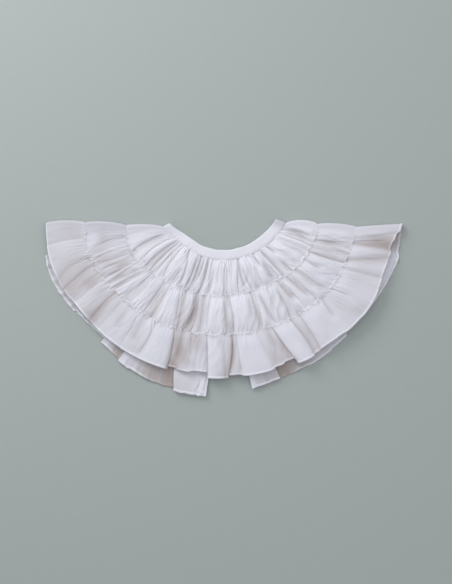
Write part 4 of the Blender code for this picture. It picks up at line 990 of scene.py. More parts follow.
def front_half(tier):
    """Middle surface of a tier's front half with its masks, the heights of its rows, and its depth.

    Height is the base, plus the large gathers, which both tiers share at a seam, plus the fine ones and
    broad ripples, plus the beaded rope that the gathering thread raises along a seam.
    """
    rails = rail_of(tier["upper"], "front"), rail_of(tier["lower"], "front")
    line = float(np.linalg.norm(rails[1].at(0.5) - rails[0].at(0.5)))
    height = tier_rows(tier, line)
    inside = np.clip(height, 0, 1)
    folds = main_folds(tier, inside)
    run, length, relief = folds["run"], folds["length"], folds["relief"]
    down_mm = (inside * line)[:, None]
    up_mm = line - down_mm if tier["lower"] != "hem" else np.full_like(down_mm, 1e3)
    small, grooves = small_folds(tier, folds, down_mm, up_mm)
    across = (run * length)[len(run) // 2]
    broad = ripples(across, down_mm, RIPPLE_ALONG, RIPPLE_DOWN, seed_of(tier, "broad"))
    relief = relief + RIPPLE_HEIGHT * broad
    large, little = (crumples(across, down_mm, pitch, seed) for pitch, seed in zip(DENT_PITCHES, DENT_SEEDS))
    dents = tier["crumple"] * (large + SMALL_DENTS * little)
    relief = relief + dents * between(DENTS_LEFT, 1, ease((run - DENTS_FROM) / DENTS_OVER))

    rope, gaps, free = 0.0, 0.0, 1.0
    for end, row, away, rail in (("upper", TUCK_ROWS, down_mm, rails[0]), ("lower", -1, up_mm, rails[1])):
        if tier[end] in BEAD_SEEDS:
            relief, beads, dark, clear = seam_detail(tier[end], row, away, rail, run, relief)
            rope, gaps, free = rope + beads, gaps + dark, free * clear
    at_ends = ease(run * length / END_CALM) * ease((1 - run) * length / END_CALM)
    z = front_base(tier, rails, run, inside) + (relief + small * free + ROPE_HEIGHT * rope) * at_ends
    z = z - SEAM_DIP * (height < 0)[:, None]

    # Painted shade darkens the front's left and right sides.
    side_shade = tier["shade_left"] * ease((SIDE_SHADE_LEFT - run) / SIDE_SHADE_OVER)
    side_shade = side_shade + tier["shade_right"] * ease((run - SIDE_SHADE_RIGHT) / SIDE_SHADE_OVER)
    # A painted highlight along the seam's rope of beads.
    white = layers_of(tier, down_mm, line, HEM_PLIES["front"]) + ROPE_HIGHLIGHT * rope * at_ends
    start = FOLD_REACH / length
    placed = between(start, 1 - start, run + folds["lean"] / length * at_ends)
    plan = plan_points(tier, rails, placed, height, line, folds["drop"], "front")
    own, away = (tier["fold_shade_left"], tier["fold_shade_right"]), (run * length, (1 - run) * length)
    # Masks: painted shade in the grooves and the seam's gaps, ply count with painted light and shade, and
    # painted shade beside the shoulder folds.
    strip = {
        "points": np.concatenate([plan, z[..., None]], axis=-1),
        "wall": wall_at(tier, height, line)[:, None] + 0 * z,
        "deep": np.clip(folds["deep"] + GROOVE_DARK * grooves + GAP_DARK * gaps, 0, 1) * at_ends,
        "layers": white - side_shade - patch_light_and_shade(tier, run, length, down_mm, line),
        "turned": painted_fold_shade(own, away),
    }
    return strip, height, line


def painted_fold_shade(own, away):
    """The painted shade beside the left and the right shoulder fold: a hump over the distance to each."""
    return sum(share * hump(far, reach) for share, far, reach in zip(own, away, FOLD_SHADE_REACH))


def plan_points(tier, rails, run, height, line, drop, half):
    """Points in plan: the straight line between the tier's two edges at the same share of each."""
    top, foot = rails[0].at(run), rails[1].at(run)
    towards = foot - top
    size = np.linalg.norm(towards, axis=-1)
    inside = np.clip(height, 0, 1)[:, None]
    stray = between(
        wander_of(tier["upper"], run, rails[0].length, half),
        wander_of(tier["lower"], run, rails[1].length, half),
        inside,
    )
    way = height[:, None] + (inside**2 * drop + stray) / size
    plan = top + towards * way[..., None]
    plan[..., 1] += scallop(tier, run, height[:, None], rails[0].length, half)
    return plan


def front_base(tier, rails, run, inside):
    """Height of the front half before its gathers: from edge to edge, puffed out between them."""
    upper = row_of(EDGES, EDGE_COLUMNS, tier["upper"])["height"]
    if tier["lower"] == "hem":
        lower = section_curve("lift")(rails[1].angle(run))
    else:
        lower = row_of(EDGES, EDGE_COLUMNS, tier["lower"])["height"]
    h = inside[:, None]
    length = between(rails[0].length, rails[1].length, h)
    bulge = (4 * h * (1 - h)) ** 0.8
    if tier["lower"] == "hem":
        bulge = np.where(h > 0.5, between(HEM_PUFF, 1, bulge), bulge)
    puff = tier["puff"] * bulge * between(1, PUFF_RIGHT, ease((run - PUFF_FROM) / PUFF_OVER))
    full = between(upper, lower, h) + puff
    from_fold = np.minimum(run, 1 - run) * length
    return between(FRONT_Z, full, ease(from_fold / RISE_RUN))


def even_folds(count):
    """Rows like BACK_FOLDS for a hidden tier: even gathers that wander a little."""
    rows = []
    for k in range(count):
        wander = math.sin(2.4 * k + 0.7)
        place = 100 * (k + 0.8 + 0.22 * wander) / (count + 0.6)
        rows.append((place, 0, HIDDEN_RIDGE + 0.4 * math.sin(4.1 * k), 0, 0, 0, 0, 0))
    return rows


def back_gathers(tier, half, inside, length):
    """A back half's gathers: its lines, where each column runs, its lift, its hem's drop, and its ply count
    with painted light and shade.

    Lift is the ridge times the cosine squared across the middle of the gather. A gather that laps the one
    before is carried over its edge and lies on it.
    """
    last = tier["lower"] == "hem"
    rows = BACK_FOLDS[half] if last else even_folds(BACK_GATHERS[tier["tier"]])
    folds = fold_table(rows, BACK_FOLD_COLUMNS)
    edges = np.concatenate([[0], folds["place"] / 100, [1]])
    number, share = gather_columns(np.diff(edges) * length.mean(), BACK_PITCH, 9)
    ridge = np.concatenate([[1.0], folds["ridge"]])[number]
    crisp = np.concatenate([[0], folds["edge"], [0]])
    blended = []
    for name, power in (("drop", DROP_POWER), ("plies", PLIES_POWER)):
        values = per_gather(np.concatenate([folds[name][:1], folds[name]]), number)
        blended.append(side_blend(share, *values, power, crisp[number], crisp[number + 1])[None])
    first, finish = (np.concatenate([[0], folds[name]])[number] for name in ("first", "last"))
    slant = np.concatenate([[0], folds["slant"] / 100, [0]])
    lines = edges + slant * (1 - inside)[:, None]
    run = lines[:, number] + share * np.diff(lines, axis=1)[:, number]
    across = np.clip((share - 0.5) / 0.52, -0.5, 0.5)
    grown = between(AT_SEAM, 1, inside) if last else held(inside, False)
    lift = (ridge * np.cos(math.pi * across) ** 2)[None] * grown[:, None]
    lift = lift + between(first, finish, share)[None] * ease((inside - 0.3) / 0.5)[:, None]
    return lines, run, lift, *blended


def crushed_edge(away, length, down_mm, lift, drop, plies):
    """The last tier crumpled beside the back opening's left edge: crisp dents with painted shade in them, and
    an uneven hem.
    """
    crushed = ease((away - length + CRUSHED) / CRUSHED_RUN)
    dents = crumples(away[-1], down_mm, CRUSHED_PITCH, CRUSHED_SEEDS[0]) * crushed
    stray, pitch = CRUSHED_HEM
    drop = drop + stray * (waves(away[-1], pitch, CRUSHED_SEEDS[1]) * crushed[-1])[None]
    lift = np.maximum(lift + CRUSHED_HEIGHT * dents, 0)
    return lift, drop, plies + CRUSHED_SHADE * np.clip(dents - 0.1, -0.9, 0)


def back_half(tier, half, height, line):
    """Middle surface of half of a tier's back: flat on the table, with a rounded ridge in each gather."""
    rails = rail_of(tier["upper"], half), rail_of(tier["lower"], half)
    inside = np.clip(height, 0, 1)
    length = between(rails[0].length, rails[1].length, inside)
    lines, run, lift, drop, plies = back_gathers(tier, half, inside, length)
    inside, length = inside[:, None], length[:, None]
    down_mm, away = inside * line, run * length
    calm = ease(away / BACK_CALM)
    seed = seed_of(tier, "back") + SEED_RIGHT * (half == "right")
    small = fine_gathers(run, fine_paths(lines, BACK_FINE, seed), down_mm, length, BACK_FINE, seed + 1)
    lift = lift + BACK_SMALL * small * calm
    broad = 1 + ripples(away[len(away) // 2], down_mm, BACK_ALONG, BACK_DOWN, seed + 2)
    lift = lift + BACK_BROAD * broad * calm * inside
    stray, pitch = BACK_HEM_WAVES
    drop = drop + stray * waves(away[-1], pitch, seed + 4)[None] * ease(away[-1] / WANDER_FADE)
    plies = plies + 0 * lift
    if tier["lower"] == "hem" and half == "left":
        lift, drop, plies = crushed_edge(away, length, down_mm, lift, drop, plies)

    wall = np.maximum(wall_at(tier, height, line, BACK_HEM)[:, None], placket_wall((1 - run) * length))
    z = lift + wall / 2 + FLOOR_GAP
    if tier["tier"] == "tier_1" and half == "right":
        z = z + end_lift(run, length) * (1 - inside) ** 2
    run = between(FOLD_REACH / length, 1.0, run)
    plan = plan_points(tier, rails, run, height, line, drop, half)
    # Ply count of the back: whiter at dense gathers, hem and placket. The table's last column paints light
    # and shade.
    layers = layers_of(tier, down_mm, line, HEM_PLIES["back"]) + PLACKET_PLIES * (wall > 0.9) + plies * inside
    own = (tier["fold_shade_left"], 0) if half == "left" else (0, tier["fold_shade_right"])
    return {
        "points": np.concatenate([plan, z[..., None]], axis=-1),
        "wall": wall,
        # Painted shade in the hollows where the ply count is below -1.
        "deep": 0.75 * np.clip(-1 - plies, 0, 1.4),
        "layers": layers,
        # Painted shade beside the shoulder fold.
        "turned": painted_fold_shade(own, (run * length, run * length)),
    }


def placket_wall(away):
    """Thickness of the folded placket beside the back opening, rounded at its two sides."""
    across = np.clip(away / PLACKET_WIDTH, 0, 1)
    return np.where(across < 1, PLACKET * np.clip(1 - np.abs(2 * across - 1) ** 8, 0.05, 1) ** 0.5, 0)


def layers_of(tier, down_mm, line, hem):
    """How many plies of cloth a point shows, from 0 for two: more where gathers are dense and at a hem."""
    dense = DENSE[tier["tier"]]
    (top, top_reach), (foot, foot_reach) = TOP_PLIES, FOOT_PLIES
    if tier["lower"] == "hem":
        rolled = down_mm > line - sizes().hem_width / MM
        return dense + LAST_TOP_PLIES * np.exp(-down_mm / top_reach) + hem * rolled
    return dense + top * np.exp(-down_mm / top_reach) + foot * np.exp(-(line - down_mm) / foot_reach)


def end_lift(run, length):
    """Height of the neckband's right end at the back, which stands on its button."""
    return END_LIFT * ease(1 + ((run - 1) * length + BUTTON_INSET) / END_LIFT_RUN)


def half_turn(front, back, before):
    """Columns round a shoulder fold: half an ellipse from the front's last column to the back's.

    It reaches out along each row, on from the column before the front's last one.
    """
    turn = (np.arange(1, TURN_STEPS) / TURN_STEPS * math.pi)[None, :, None]
    middle, half = (front + back)[:, None] / 2, (front - back)[:, None] / 2
    out = (front - before) * (1.0, 1.0, 0.0)
    out = FOLD_REACH * out / np.linalg.norm(out, axis=-1, keepdims=True)
    return middle + half * np.cos(turn) + out[:, None] * np.sin(turn)


def strip_of(left, front, right):
    """One strip from the left back edge over the front to the right back edge.

    Each part is a set of grids. points turn round the shoulder folds, and any other grid is blended there.
    """
    made = {}
    share = (np.arange(1, TURN_STEPS) / TURN_STEPS)[None]
    for name in front:
        a, b, c = left[name][:, ::-1], front[name], right[name]
        if name == "points":
            turns = half_turn(b[:, 0], a[:, -1], b[:, 4])[:, ::-1], half_turn(b[:, -1], c[:, 0], b[:, -5])
        else:
            turns = between(a[:, -1:], b[:, :1], share), between(b[:, -1:], c[:, :1], share)
        made[name] = np.concatenate([a, turns[0], b, turns[1], c], axis=1)
    return made


# ---- meshes ------------------------------------------------------------------------------------------
def normals_of(points):
    """Unit normals of a grid: the row direction crossed with the column direction."""
    along, down = np.gradient(points, axis=1), np.gradient(points, axis=0)
    normal = np.cross(down, along)
    return normal / np.maximum(np.linalg.norm(normal, axis=-1, keepdims=True), 1e-9)


def placed(mesh, material):
    """The object of a finished mesh, at the origin and named like it."""
    thing = bpy.data.objects.new(mesh.name, mesh)
    bpy.context.scene.collection.objects.link(thing)
    mesh.materials.append(material)
    return thing


def shell(name, strip, uv, material):
    """A closed shell: the middle surface moved half the wall out and half the wall in along its normals."""
    middle = strip["points"]
    half = (strip["wall"] / 2)[..., None] * normals_of(middle)
    rows, cols = middle.shape[:2]
    count = rows * cols
    index = np.arange(count).reshape(rows, cols)
    outer = np.stack([index[:-1, :-1], index[1:, :-1], index[1:, 1:], index[:-1, 1:]], -1).reshape(-1, 4)
    ring = np.concatenate([index[0, :-1], index[:-1, -1], index[-1, :0:-1], index[:0:-1, 0]])
    after = np.roll(ring, -1)
    edge = np.stack([ring, after, after + count, ring + count], -1)
    faces = np.concatenate([outer, outer[:, ::-1] + count, edge])
    points = np.concatenate([(middle + half).reshape(-1, 3), (middle - half).reshape(-1, 3)]) * MM
    mesh = bpy.data.meshes.new(name)
    mesh.vertices.add(len(points))
    mesh.vertices.foreach_set("co", points.astype(np.float32).ravel())
    mesh.loops.add(faces.size)
    mesh.loops.foreach_set("vertex_index", faces.astype(np.int32).ravel())
    mesh.polygons.add(len(faces))
    mesh.polygons.foreach_set("loop_start", (np.arange(len(faces)) * 4).astype(np.int32))
    mesh.update(calc_edges=True)
    both = np.concatenate([uv.reshape(-1, 2)] * 2)
    layer = mesh.uv_layers.new(name="flat_cut")
    layer.uv.foreach_set("vector", both[faces.ravel()].astype(np.float32).ravel())
    # The masks: painted shade in grooves, ply count with painted light and shade, and painted shade by the
    # shoulder folds.
    for mask in ("deep", "layers", "turned"):
        made = mesh.attributes.new(mask, "FLOAT", "POINT")
        made.data.foreach_set("value", np.concatenate([strip[mask].ravel()] * 2).astype(np.float32))
    mesh.shade_smooth()
    mesh.set_sharp_from_angle(angle=math.radians(60))
    mesh.validate()
    return placed(mesh, material)


def cut_uv(points, cut_length, cut_height):
    """Place on the flat cut in metres: share of the way along each row and down the middle column."""
    steps = np.linalg.norm(np.diff(points, axis=1), axis=-1)
    along = np.concatenate([np.zeros((len(points), 1)), np.cumsum(steps, axis=1)], axis=1)
    mean = (along / along[:, -1:]).mean(axis=0)
    down = np.linspace(0, 1, len(points))
    u = np.repeat(mean[None], len(points), 0) * cut_length
    v = np.repeat(down[:, None], points.shape[1], 1) * cut_height
    return np.stack([u, v], -1) * MM


def tubes(name, paths, ups, radii, material):
    """Many thin tubes in one mesh, closed at both ends.

    paths holds each tube's points, ups is a direction across each point, and radii has a radius for each
    point along a tube. A ring is the point plus side times cosine plus up times sine of some even turns.
    """
    turn = np.arange(THREAD_SIDES) / THREAD_SIDES * 2 * math.pi
    along = np.gradient(paths, axis=1)
    side = np.cross(along, ups)
    side /= np.linalg.norm(side, axis=-1, keepdims=True)
    up = np.cross(side, along)
    up /= np.linalg.norm(up, axis=-1, keepdims=True)
    round_it = side[:, :, None] * np.cos(turn)[:, None] + up[:, :, None] * np.sin(turn)[:, None]
    points = paths[:, :, None] + round_it * np.array(radii)[None, :, None, None]
    index = np.arange(points.size // 3).reshape(points.shape[:3])
    after = np.roll(index, -1, axis=2)
    quads = np.stack([index[:, :-1], after[:, :-1], after[:, 1:], index[:, 1:]], -1).reshape(-1, 4)
    caps = [row[::-1].tolist() for row in index[:, 0]] + [row.tolist() for row in index[:, -1]]
    mesh = bpy.data.meshes.new(name)
    mesh.from_pydata((points.reshape(-1, 3) * MM).tolist(), [], quads.tolist() + caps)
    mesh.shade_smooth()
    return placed(mesh, material)


def stitches(line, up, seed):
    """Running stitches along a line of points: each dives into the cloth at both of its ends.

    A stitch's points are the line's at even lengths about its middle, raised along up by its own height.
    """
    rng = np.random.default_rng(seed)
    length = np.concatenate([[0], np.cumsum(np.linalg.norm(np.diff(line, axis=0), axis=1))])
    pitch = round(sizes().stitch_pitch / MM, 4)
    middle = np.arange(pitch, length[-1] - pitch, pitch)
    middle = middle + rng.uniform(-0.15, 0.15, len(middle))
    reach = STITCH_LENGTH * rng.uniform(0.9, 1.08, len(middle))
    at = middle[:, None] + reach[:, None] * np.array(STITCH_SHARES)
    points = np.stack([np.interp(at, length, line[:, k]) for k in range(3)], -1)
    ups = np.stack([np.interp(at, length, up[:, k]) for k in range(3)], -1)
    return points + ups * np.array(STITCH_HEIGHTS)[:, None], ups


def sewn(name, rows, seed):
    """A piece of stitches along some rows of surface points, each given with the directions off it."""
    made = [stitches(line, up, seed + k) for k, (line, up) in enumerate(rows)]
    paths, ups = (np.concatenate(parts) for parts in zip(*made))
    radii = [STITCH_THREAD / 2 * share for share in STITCH_RADII]
    piece = tubes(name, paths, ups, radii, material_named("thread"))
    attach(piece, BODY)
    return piece


def face_rows(strip, row, columns=slice(None), side=1):
    """A row of points on one face of a strip's wall, and the directions off it."""
    off = side * normals_of(strip["points"])[row, columns]
    return strip["points"][row, columns] + off * strip["wall"][row, columns, None] / 2, off


def stitch_rows(strip, row, columns, clear):
    """Rows of points for stitches: on the front's upper face, then on the upper face of each back half.

    columns are the strip's columns at its two shoulder folds, and clear is how many beside them stay bare.
    """
    return [
        face_rows(strip, row, slice(columns[0] + clear[0], columns[1] - clear[0])),
        face_rows(strip, row, slice(END_COLUMNS, columns[0] - clear[1]), -1),
        face_rows(strip, row, slice(columns[1] + clear[1], -END_COLUMNS), -1),
    ]


def face_column(strip, from_end, last, side):
    """Like face_rows, for the column that is so many millimetres from a strip's first or last edge."""
    middle = strip["points"][len(strip["points"]) // 2]
    steps = np.linalg.norm(np.diff(middle, axis=0), axis=1)
    length = np.concatenate([[0], np.cumsum(steps)])
    column = int(np.argmin(np.abs((length[-1] - length if last else length) - from_end)))
    return face_rows(strip, slice(None), column, side)


# ---- shader maths ------------------------------------------------------------------------------------
class Graph:
    """A material's node tree, with one method for any node and sockets wrapped as numbers."""

    def __init__(self, name):
        self.material = bpy.data.materials.new(name)
        self.material.use_nodes = True
        self.tree = self.material.node_tree
        self.shader = self.tree.nodes["Principled BSDF"]

    def node(self, kind, settings=None, **inputs):
        """A node of a kind, its settings first and then its sockets, by name or by _number."""
        made = self.tree.nodes.new(kind)
        for key, value in (settings or {}).items():
            setattr(made, key, value)
        for key, value in inputs.items():
            socket = made.inputs[int(key[1:])] if key.startswith("_") else made.inputs[key.replace("_", " ")]
            self.feed(socket, value)
        return made

    def feed(self, socket, value):
        """Links a socket to a number or a node's output, or sets its value."""
        if isinstance(value, Number):
            value = value.socket
        if isinstance(value, bpy.types.NodeSocket):
            self.tree.links.new(value, socket)
        else:
            socket.default_value = value

    def maths(self, operation, *values):
        """A Math node's result."""
        inputs = {f"_{k}": value for k, value in enumerate(values)}
        return Number(self, self.node("ShaderNodeMath", {"operation": operation}, **inputs).outputs[0])

    def mix(self, share, first, second):
        """The colour between two others."""
        made = self.node("ShaderNodeMix", {"data_type": "RGBA"})
        for key, value in ((0, share), (6, first), (7, second)):
            self.feed(made.inputs[key], value)
        return made.outputs[2]

    def pattern(self, place, scale, detail=2.0):
        """Soft noise from 0 to 1 over a place that is first scaled along each axis."""
        scaled = self.node("ShaderNodeMapping", Vector=place, Scale=scale).outputs[0]
        made = self.node("ShaderNodeTexNoise", Vector=scaled, Scale=1.0, Detail=detail)
        return Number(self, made.outputs["Fac"])

    def attribute(self, name):
        """A mask of the mesh."""
        return Number(self, self.node("ShaderNodeAttribute", {"attribute_name": name}).outputs["Fac"])


class Number:
    """A socket that takes part in Python expressions: each operator adds its Math node."""

    def __init__(self, graph, socket):
        self.graph, self.socket = graph, socket

    def __add__(self, other):
        return self.graph.maths("ADD", self, other)

    __radd__ = __add__

    def __sub__(self, other):
        return self.graph.maths("SUBTRACT", self, other)

    def __rsub__(self, other):
        return self.graph.maths("SUBTRACT", other, self)

    def __mul__(self, other):
        return self.graph.maths("MULTIPLY", self, other)

    __rmul__ = __mul__

    def clamped(self):
        """The number kept from 0 to 1."""
        return self.graph.maths("MINIMUM", self.graph.maths("MAXIMUM", self, 0.0), 1.0)


def rgba(colour):
    """A colour with full alpha."""
    return (*colour, 1.0)


def shaded(colour, factor):
    """A colour made darker or lighter: each part times the factor, and 1 at most."""
    return tuple(min(1.0, c * factor) for c in colour)


def cotton(name, colour):
    """Plain-woven cotton: threads crossing over and under, slubs, a soft sheen, and painted shade in deep
    gathers.

    Its colour goes from the white of its own cloth towards whiter folded cloth as the ply count rises, and
    towards a darker thin ply below 0, both partly painted light and shade. It then goes into painted shade in
    the gathers and beside the shoulder folds, with their masks.
    """
    made = Graph(name)
    own = {key: rgba(getattr(colours(), key)) for key in ("layered", "single", "hollow", "valley", "turned")}
    uv = made.node("ShaderNodeUVMap", {"uv_map": "flat_cut"}).outputs[0]
    threads = 1 / sizes().thread_pitch
    warp = made.pattern(uv, (threads, THREAD_RUN * threads, 1.0), 1.0)
    weft = made.pattern(uv, (THREAD_RUN * threads, threads, 1.0), 1.0)
    slub = made.pattern(uv, SLUBS_ALONG) + made.pattern(uv, SLUBS_DOWN)
    cloud = made.pattern(uv, CLOUDS, 3.0)
    grain = slub * SLUB_TONE + (warp + weft) * THREAD_TONE
    pale = made.mix(grain.clamped(), *(rgba(shaded(colour, tone)) for tone in TONES))
    cool = rgba(shaded([part * tint for part, tint in zip(colour, CLOUD_TINT)], CLOUD_DARK))
    tinted = made.mix((cloud * CLOUD_TONE).clamped(), pale, cool)
    # The ply mask, partly painted light and shade: whiter above 0, darker below 0.
    plies = made.attribute("layers")
    whiter = made.mix(plies.clamped(), tinted, own["layered"])
    single = made.mix((0 - plies).clamped(), whiter, own["single"])
    # Painted shade in the gathers: warm where the ply count is low, grey where it is high.
    groove_shade = made.mix(((plies - GREY_SHADE_FROM) * GREY_SHADE_RATE).clamped(), own["hollow"], own["valley"])
    gathered = made.mix((made.attribute("deep") * DEEP_TONE).clamped(), single, groove_shade)
    # Painted shade beside the shoulder folds.
    turned = made.mix(made.attribute("turned").clamped(), gathered, own["turned"])
    made.feed(made.shader.inputs["Base Color"], turned)
    made.feed(made.shader.inputs["Roughness"], COTTON_ROUGH + slub * SLUB_ROUGH)
    strength, depth = WEAVE_BUMP
    height = warp + weft + slub * SLUB_HEIGHT
    weave = made.node("ShaderNodeBump", Strength=strength, Distance=depth, Height=height)
    strength, depth = CRINKLE_BUMP
    height = made.pattern(uv, CRINKLES, 3.0)
    under = weave.outputs[0]
    bump = made.node("ShaderNodeBump", Strength=strength, Distance=depth, Height=height, Normal=under)
    made.feed(made.shader.inputs["Normal"], bump.outputs[0])
    made.shader.inputs["Sheen Weight"].default_value = COTTON_SHEEN
    made.shader.inputs["Sheen Roughness"].default_value = SHEEN_ROUGH
    made.shader.inputs["Specular IOR Level"].default_value = COTTON_SPECULAR
    return made.material


def plain_finish(name):
    """A finish of FINISHES: noise over the object takes its colour from dark to light, and its roughness.

    On the thread it is fine enough for twisted strands, on the shell button it makes faint clouds, and on
    the matt floor it hardly shows.
    """
    facts = row_of(FINISHES, FINISH_COLUMNS, name)
    made = Graph(name)
    place = made.node("ShaderNodeTexCoord").outputs["Object"]
    grain = made.pattern(place, (facts["scale"],) * 3, facts["detail"])
    own = getattr(colours(), name)
    tones = (rgba(shaded(own, facts[end])) for end in ("darkest", "lightest"))
    made.feed(made.shader.inputs["Base Color"], made.mix(grain, *tones))
    rough = facts["rough"] + grain * facts["rougher"] if facts["rougher"] else facts["rough"]
    made.feed(made.shader.inputs["Roughness"], rough)
    return made.material


def material_named(name):
    """The material of that name, made on first use."""
    found = bpy.data.materials.get(name)
    if found is not None and found.get("collar_made"):
        return found
    cloths = {"cotton": colours().cloth, "binding": colours().band}
    made = cotton(name, cloths[name]) if name in cloths else plain_finish(name)
    made["collar_made"] = True
    return made


# ---- operators ---------------------------------------------------------------------------------------
class MakeTiers(bpy.types.Operator):
    """Builds the three gathered tiers, each as one strip of cloth round both shoulder folds."""

    bl_idname = "collar.make_tiers"
    bl_label = "Gathered tiers"

    def execute(self, context):
        for row in TIERS:
            tier = dict(zip(TIER_COLUMNS, row))
            front, height, line = front_half(tier)
            left, right = (back_half(tier, half, height, line) for half in ("left", "right"))
            strip = strip_of(left, front, right)
            uv = cut_uv(strip["points"], tier["cut_length"], tier["cut_height"])
            piece = shell(tier["tier"], strip, uv, material_named("cotton"))
            rows = [face_column(strip, PLACKET_STITCHES, last, -1) for last in (False, True)]
            if tier["lower"] == "hem":
                at_folds = left["points"].shape[1], strip["points"].shape[1] - right["points"].shape[1]
                rows += stitch_rows(strip, HEM_ROW, at_folds, CLEAR_COLUMNS["tier"])
            thread = sewn(tier["tier"] + "_stitches", rows, STITCH_SEED)
            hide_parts(*(tier["tier"] + part for part in ("_front", "_back_left", "_back_right")))
            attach(piece, BODY)
        return {"FINISHED"}


class MakeNeckband(bpy.types.Operator):
    """Builds the neckband: a flat folded binding round both shoulder folds."""

    bl_idname = "collar.make_neckband"
    bl_label = "Neckband"

    def execute(self, context):
        across = np.array(BAND_ROWS)
        halves = [band_half(half, across) for half in ("left", "front", "right")]
        strip = strip_of(*halves)
        points = strip["points"]
        edge = np.clip(1 - np.abs(2 * across - 1) ** 10, 0, 1) ** 0.5
        foot = between(1, BAND_FOOT, ease((across - BAND_FOOT_FROM) / BAND_FOOT_OVER))
        flat = np.zeros(points.shape[:2])
        wall = flat + (BAND * between(0.12, 1, edge) * foot)[:, None]
        strip.update(wall=wall, deep=flat, layers=flat + 1)
        piece = shell("neckband", strip, cut_uv(points, BAND_LENGTH, BAND_HEIGHT), material_named("binding"))
        low = int(np.argmin(np.abs(across - BAND_STITCHES)))
        at_folds = halves[0]["points"].shape[1], points.shape[1] - halves[2]["points"].shape[1]
        rows = stitch_rows(strip, low, at_folds, CLEAR_COLUMNS["band"])
        thread = sewn("neckband_stitches", rows, BAND_STITCH_SEED)
        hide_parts("neckband_front", "neckband_back_left", "neckband_back_right")
        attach(piece, BODY)
        return {"FINISHED"}


def band_half(half, across):
    """Middle surface and mask of one part of the neckband: a straight strip between its two rails.

    On the front, the gathers push puckers into its foot, and broader waves run along it.
    """
    rails = rail_of("neck", half), rail_of("band_foot", half)
    share = np.linspace(0, 1, BAND_COLUMNS[half])[None] + np.zeros((len(across), 1))
    length = between(rails[0].length, rails[1].length, across)[:, None]
    start = FOLD_REACH / length
    run = between(start, 1 - start if half == "front" else 1.0, share)
    top, foot = rails[0].at(run), rails[1].at(run)
    plan = top + (foot - top) * across[:, None, None]
    away = run * length
    if half == "front":
        upper, lower = (row_of(EDGES, EDGE_COLUMNS, e)["height"] for e in ("neck", "band_foot"))
        full = between(upper, lower, across)[:, None]
        from_fold = np.minimum(share, 1 - share) * length
        puckers = PUCKERS * waves(away, PUCKER_PITCH, PUCKER_SEEDS[0]) * ease((across - 0.35) / 0.5)[:, None]
        uneven = puckers + BAND_WAVES * waves(away, BAND_WAVE_PITCH, PUCKER_SEEDS[1])
        ends = ease(share * 12) * ease((1 - share) * 12)
        z = between(FRONT_Z, full, ease(from_fold / RISE_RUN)) + uneven * ends
    else:
        z = np.full_like(run, BAND / 2 + 0.02)
        if half == "right":
            z = z + end_lift(run, length)
    far = {"front": (away, length - away), "left": (away, 1e3 + away), "right": (1e3 + away, away)}[half]
    # The band's painted shade beside the shoulder folds.
    return {"points": np.concatenate([plan, z[..., None]], axis=-1), "turned": painted_fold_shade(BAND_FOLD_SHADE, far)}


class DressFastening(bpy.types.Operator):
    """Gives the back button and its thread loop their finishes."""

    bl_idname = "collar.dress_fastening"
    bl_label = "Button and loop"

    def execute(self, context):
        for node, finish in (("back_button", "button"), ("back_loop", "thread")):
            for held_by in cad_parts[node].material_slots:
                held_by.material = material_named(finish)
        return {"FINISHED"}


class MakeLooseEnds(bpy.types.Operator):
    """Builds the few short ends of thread that have come loose at the hem."""

    bl_idname = "collar.make_loose_ends"
    bl_label = "Loose thread ends"

    def execute(self, context):
        share = np.linspace(0, 1, 12)
        facts = {name: column(LOOSE_ENDS, LOOSE_END_COLUMNS, name)[:, None] for name in LOOSE_END_COLUMNS}
        turn = np.radians(facts["heading"] + facts["bend"] * (share - 0.5))
        step = facts["length"] / (len(share) - 1)
        x = facts["x"] + np.cumsum(step * np.cos(turn), axis=1)
        y = facts["y"] + np.cumsum(step * np.sin(turn), axis=1)
        z = between(facts["z"], 0.2, ease(share * 2.2))
        paths = np.stack([x, y, z], -1)
        ups = np.zeros_like(paths) + (0, 0, 1)
        piece = tubes("loose_thread_ends", paths, ups, between(*LOOSE_RADII, share), material_named("thread"))
        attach(piece, BODY)
        return {"FINISHED"}


def add_lights():
    """The soft lights of LIGHTS, each turned to its target, and an even light from all round."""
    for name, place, target, size, power, colour in LIGHTS:
        data = bpy.data.lights.new(name, "AREA")
        data.energy, data.size, data.color = power, size, colour
        lamp = bpy.data.objects.new(name, data)
        lamp.location = place
        aim = np.array(target) - np.array(place)
        lamp.rotation_euler = Vector(aim).to_track_quat("-Z", "Y").to_euler()
        bpy.context.scene.collection.objects.link(lamp)
    world = bpy.data.worlds.new("studio")
    world.use_nodes = True
    background = world.node_tree.nodes["Background"]
    background.inputs[0].default_value = rgba(WORLD_COLOUR)
    background.inputs[1].default_value = WORLD_STRENGTH
    bpy.context.scene.world = world


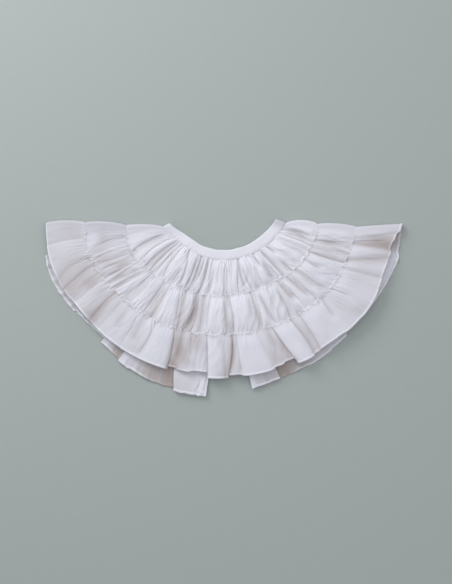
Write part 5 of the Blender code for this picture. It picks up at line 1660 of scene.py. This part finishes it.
def add_camera():
    """A camera that looks straight down. Its lens takes in VIEW_HEIGHT at the level VIEW_LEVEL."""
    data = bpy.data.cameras.new("camera")
    data.sensor_width = SENSOR
    data.lens = SENSOR * CAMERA_HEIGHT / VIEW_HEIGHT
    camera = bpy.data.objects.new("camera", data)
    camera.location = (*VIEW_CENTRE, CAMERA_HEIGHT + VIEW_LEVEL)
    bpy.context.scene.collection.objects.link(camera)
    bpy.context.scene.camera = camera
    bpy.context.scene.view_settings.view_transform = "Standard"


class SetStage(bpy.types.Operator):
    """Sets the floor, the lights and the camera straight above the collar."""

    bl_idname = "collar.set_stage"
    bl_label = "Stage"

    def execute(self, context):
        bpy.ops.mesh.primitive_plane_add(size=FLOOR_SIZE, location=(0, 0, -FLOOR_DROP))
        floor = bpy.context.object
        floor.name = "floor"
        floor.data.materials.append(material_named("floor"))
        add_lights()
        add_camera()
        return {"FINISHED"}


class CollarPanel(bpy.types.Panel):
    """Lists the collar's operators in the 3D view's sidebar."""

    bl_idname = "VIEW3D_PT_collar"
    bl_label = "Ruffle collar"
    bl_space_type = "VIEW_3D"
    bl_region_type = "UI"
    bl_category = "Collar"

    def draw(self, context):
        for group in (context.scene.collar_sizes, context.scene.collar_colours):
            box = self.layout.box()
            for name in group.__annotations__:
                box.prop(group, name)
        for operator in OPERATORS:
            self.layout.operator(operator.bl_idname)


OPERATORS = (MakeTiers, MakeNeckband, DressFastening, MakeLooseEnds, SetStage)
GROUPS = (ClothSizes, ClothColours)


def register():
    """Registers every class, and puts the collar's sizes and colours on the scene."""
    for made in (*GROUPS, *OPERATORS, CollarPanel):
        bpy.utils.register_class(made)
    bpy.types.Scene.collar_sizes = bpy.props.PointerProperty(type=ClothSizes)
    bpy.types.Scene.collar_colours = bpy.props.PointerProperty(type=ClothColours)


def unregister():
    """Undoes register."""
    del bpy.types.Scene.collar_sizes, bpy.types.Scene.collar_colours
    for made in (CollarPanel, *OPERATORS[::-1], *GROUPS[::-1]):
        bpy.utils.unregister_class(made)


def main():
    """Builds the collar and its stage."""
    register()
    bpy.ops.collar.make_tiers()
    bpy.ops.collar.make_neckband()
    bpy.ops.collar.dress_fastening()
    bpy.ops.collar.make_loose_ends()
    bpy.ops.collar.set_stage()


if __name__ == "__main__":
    main()
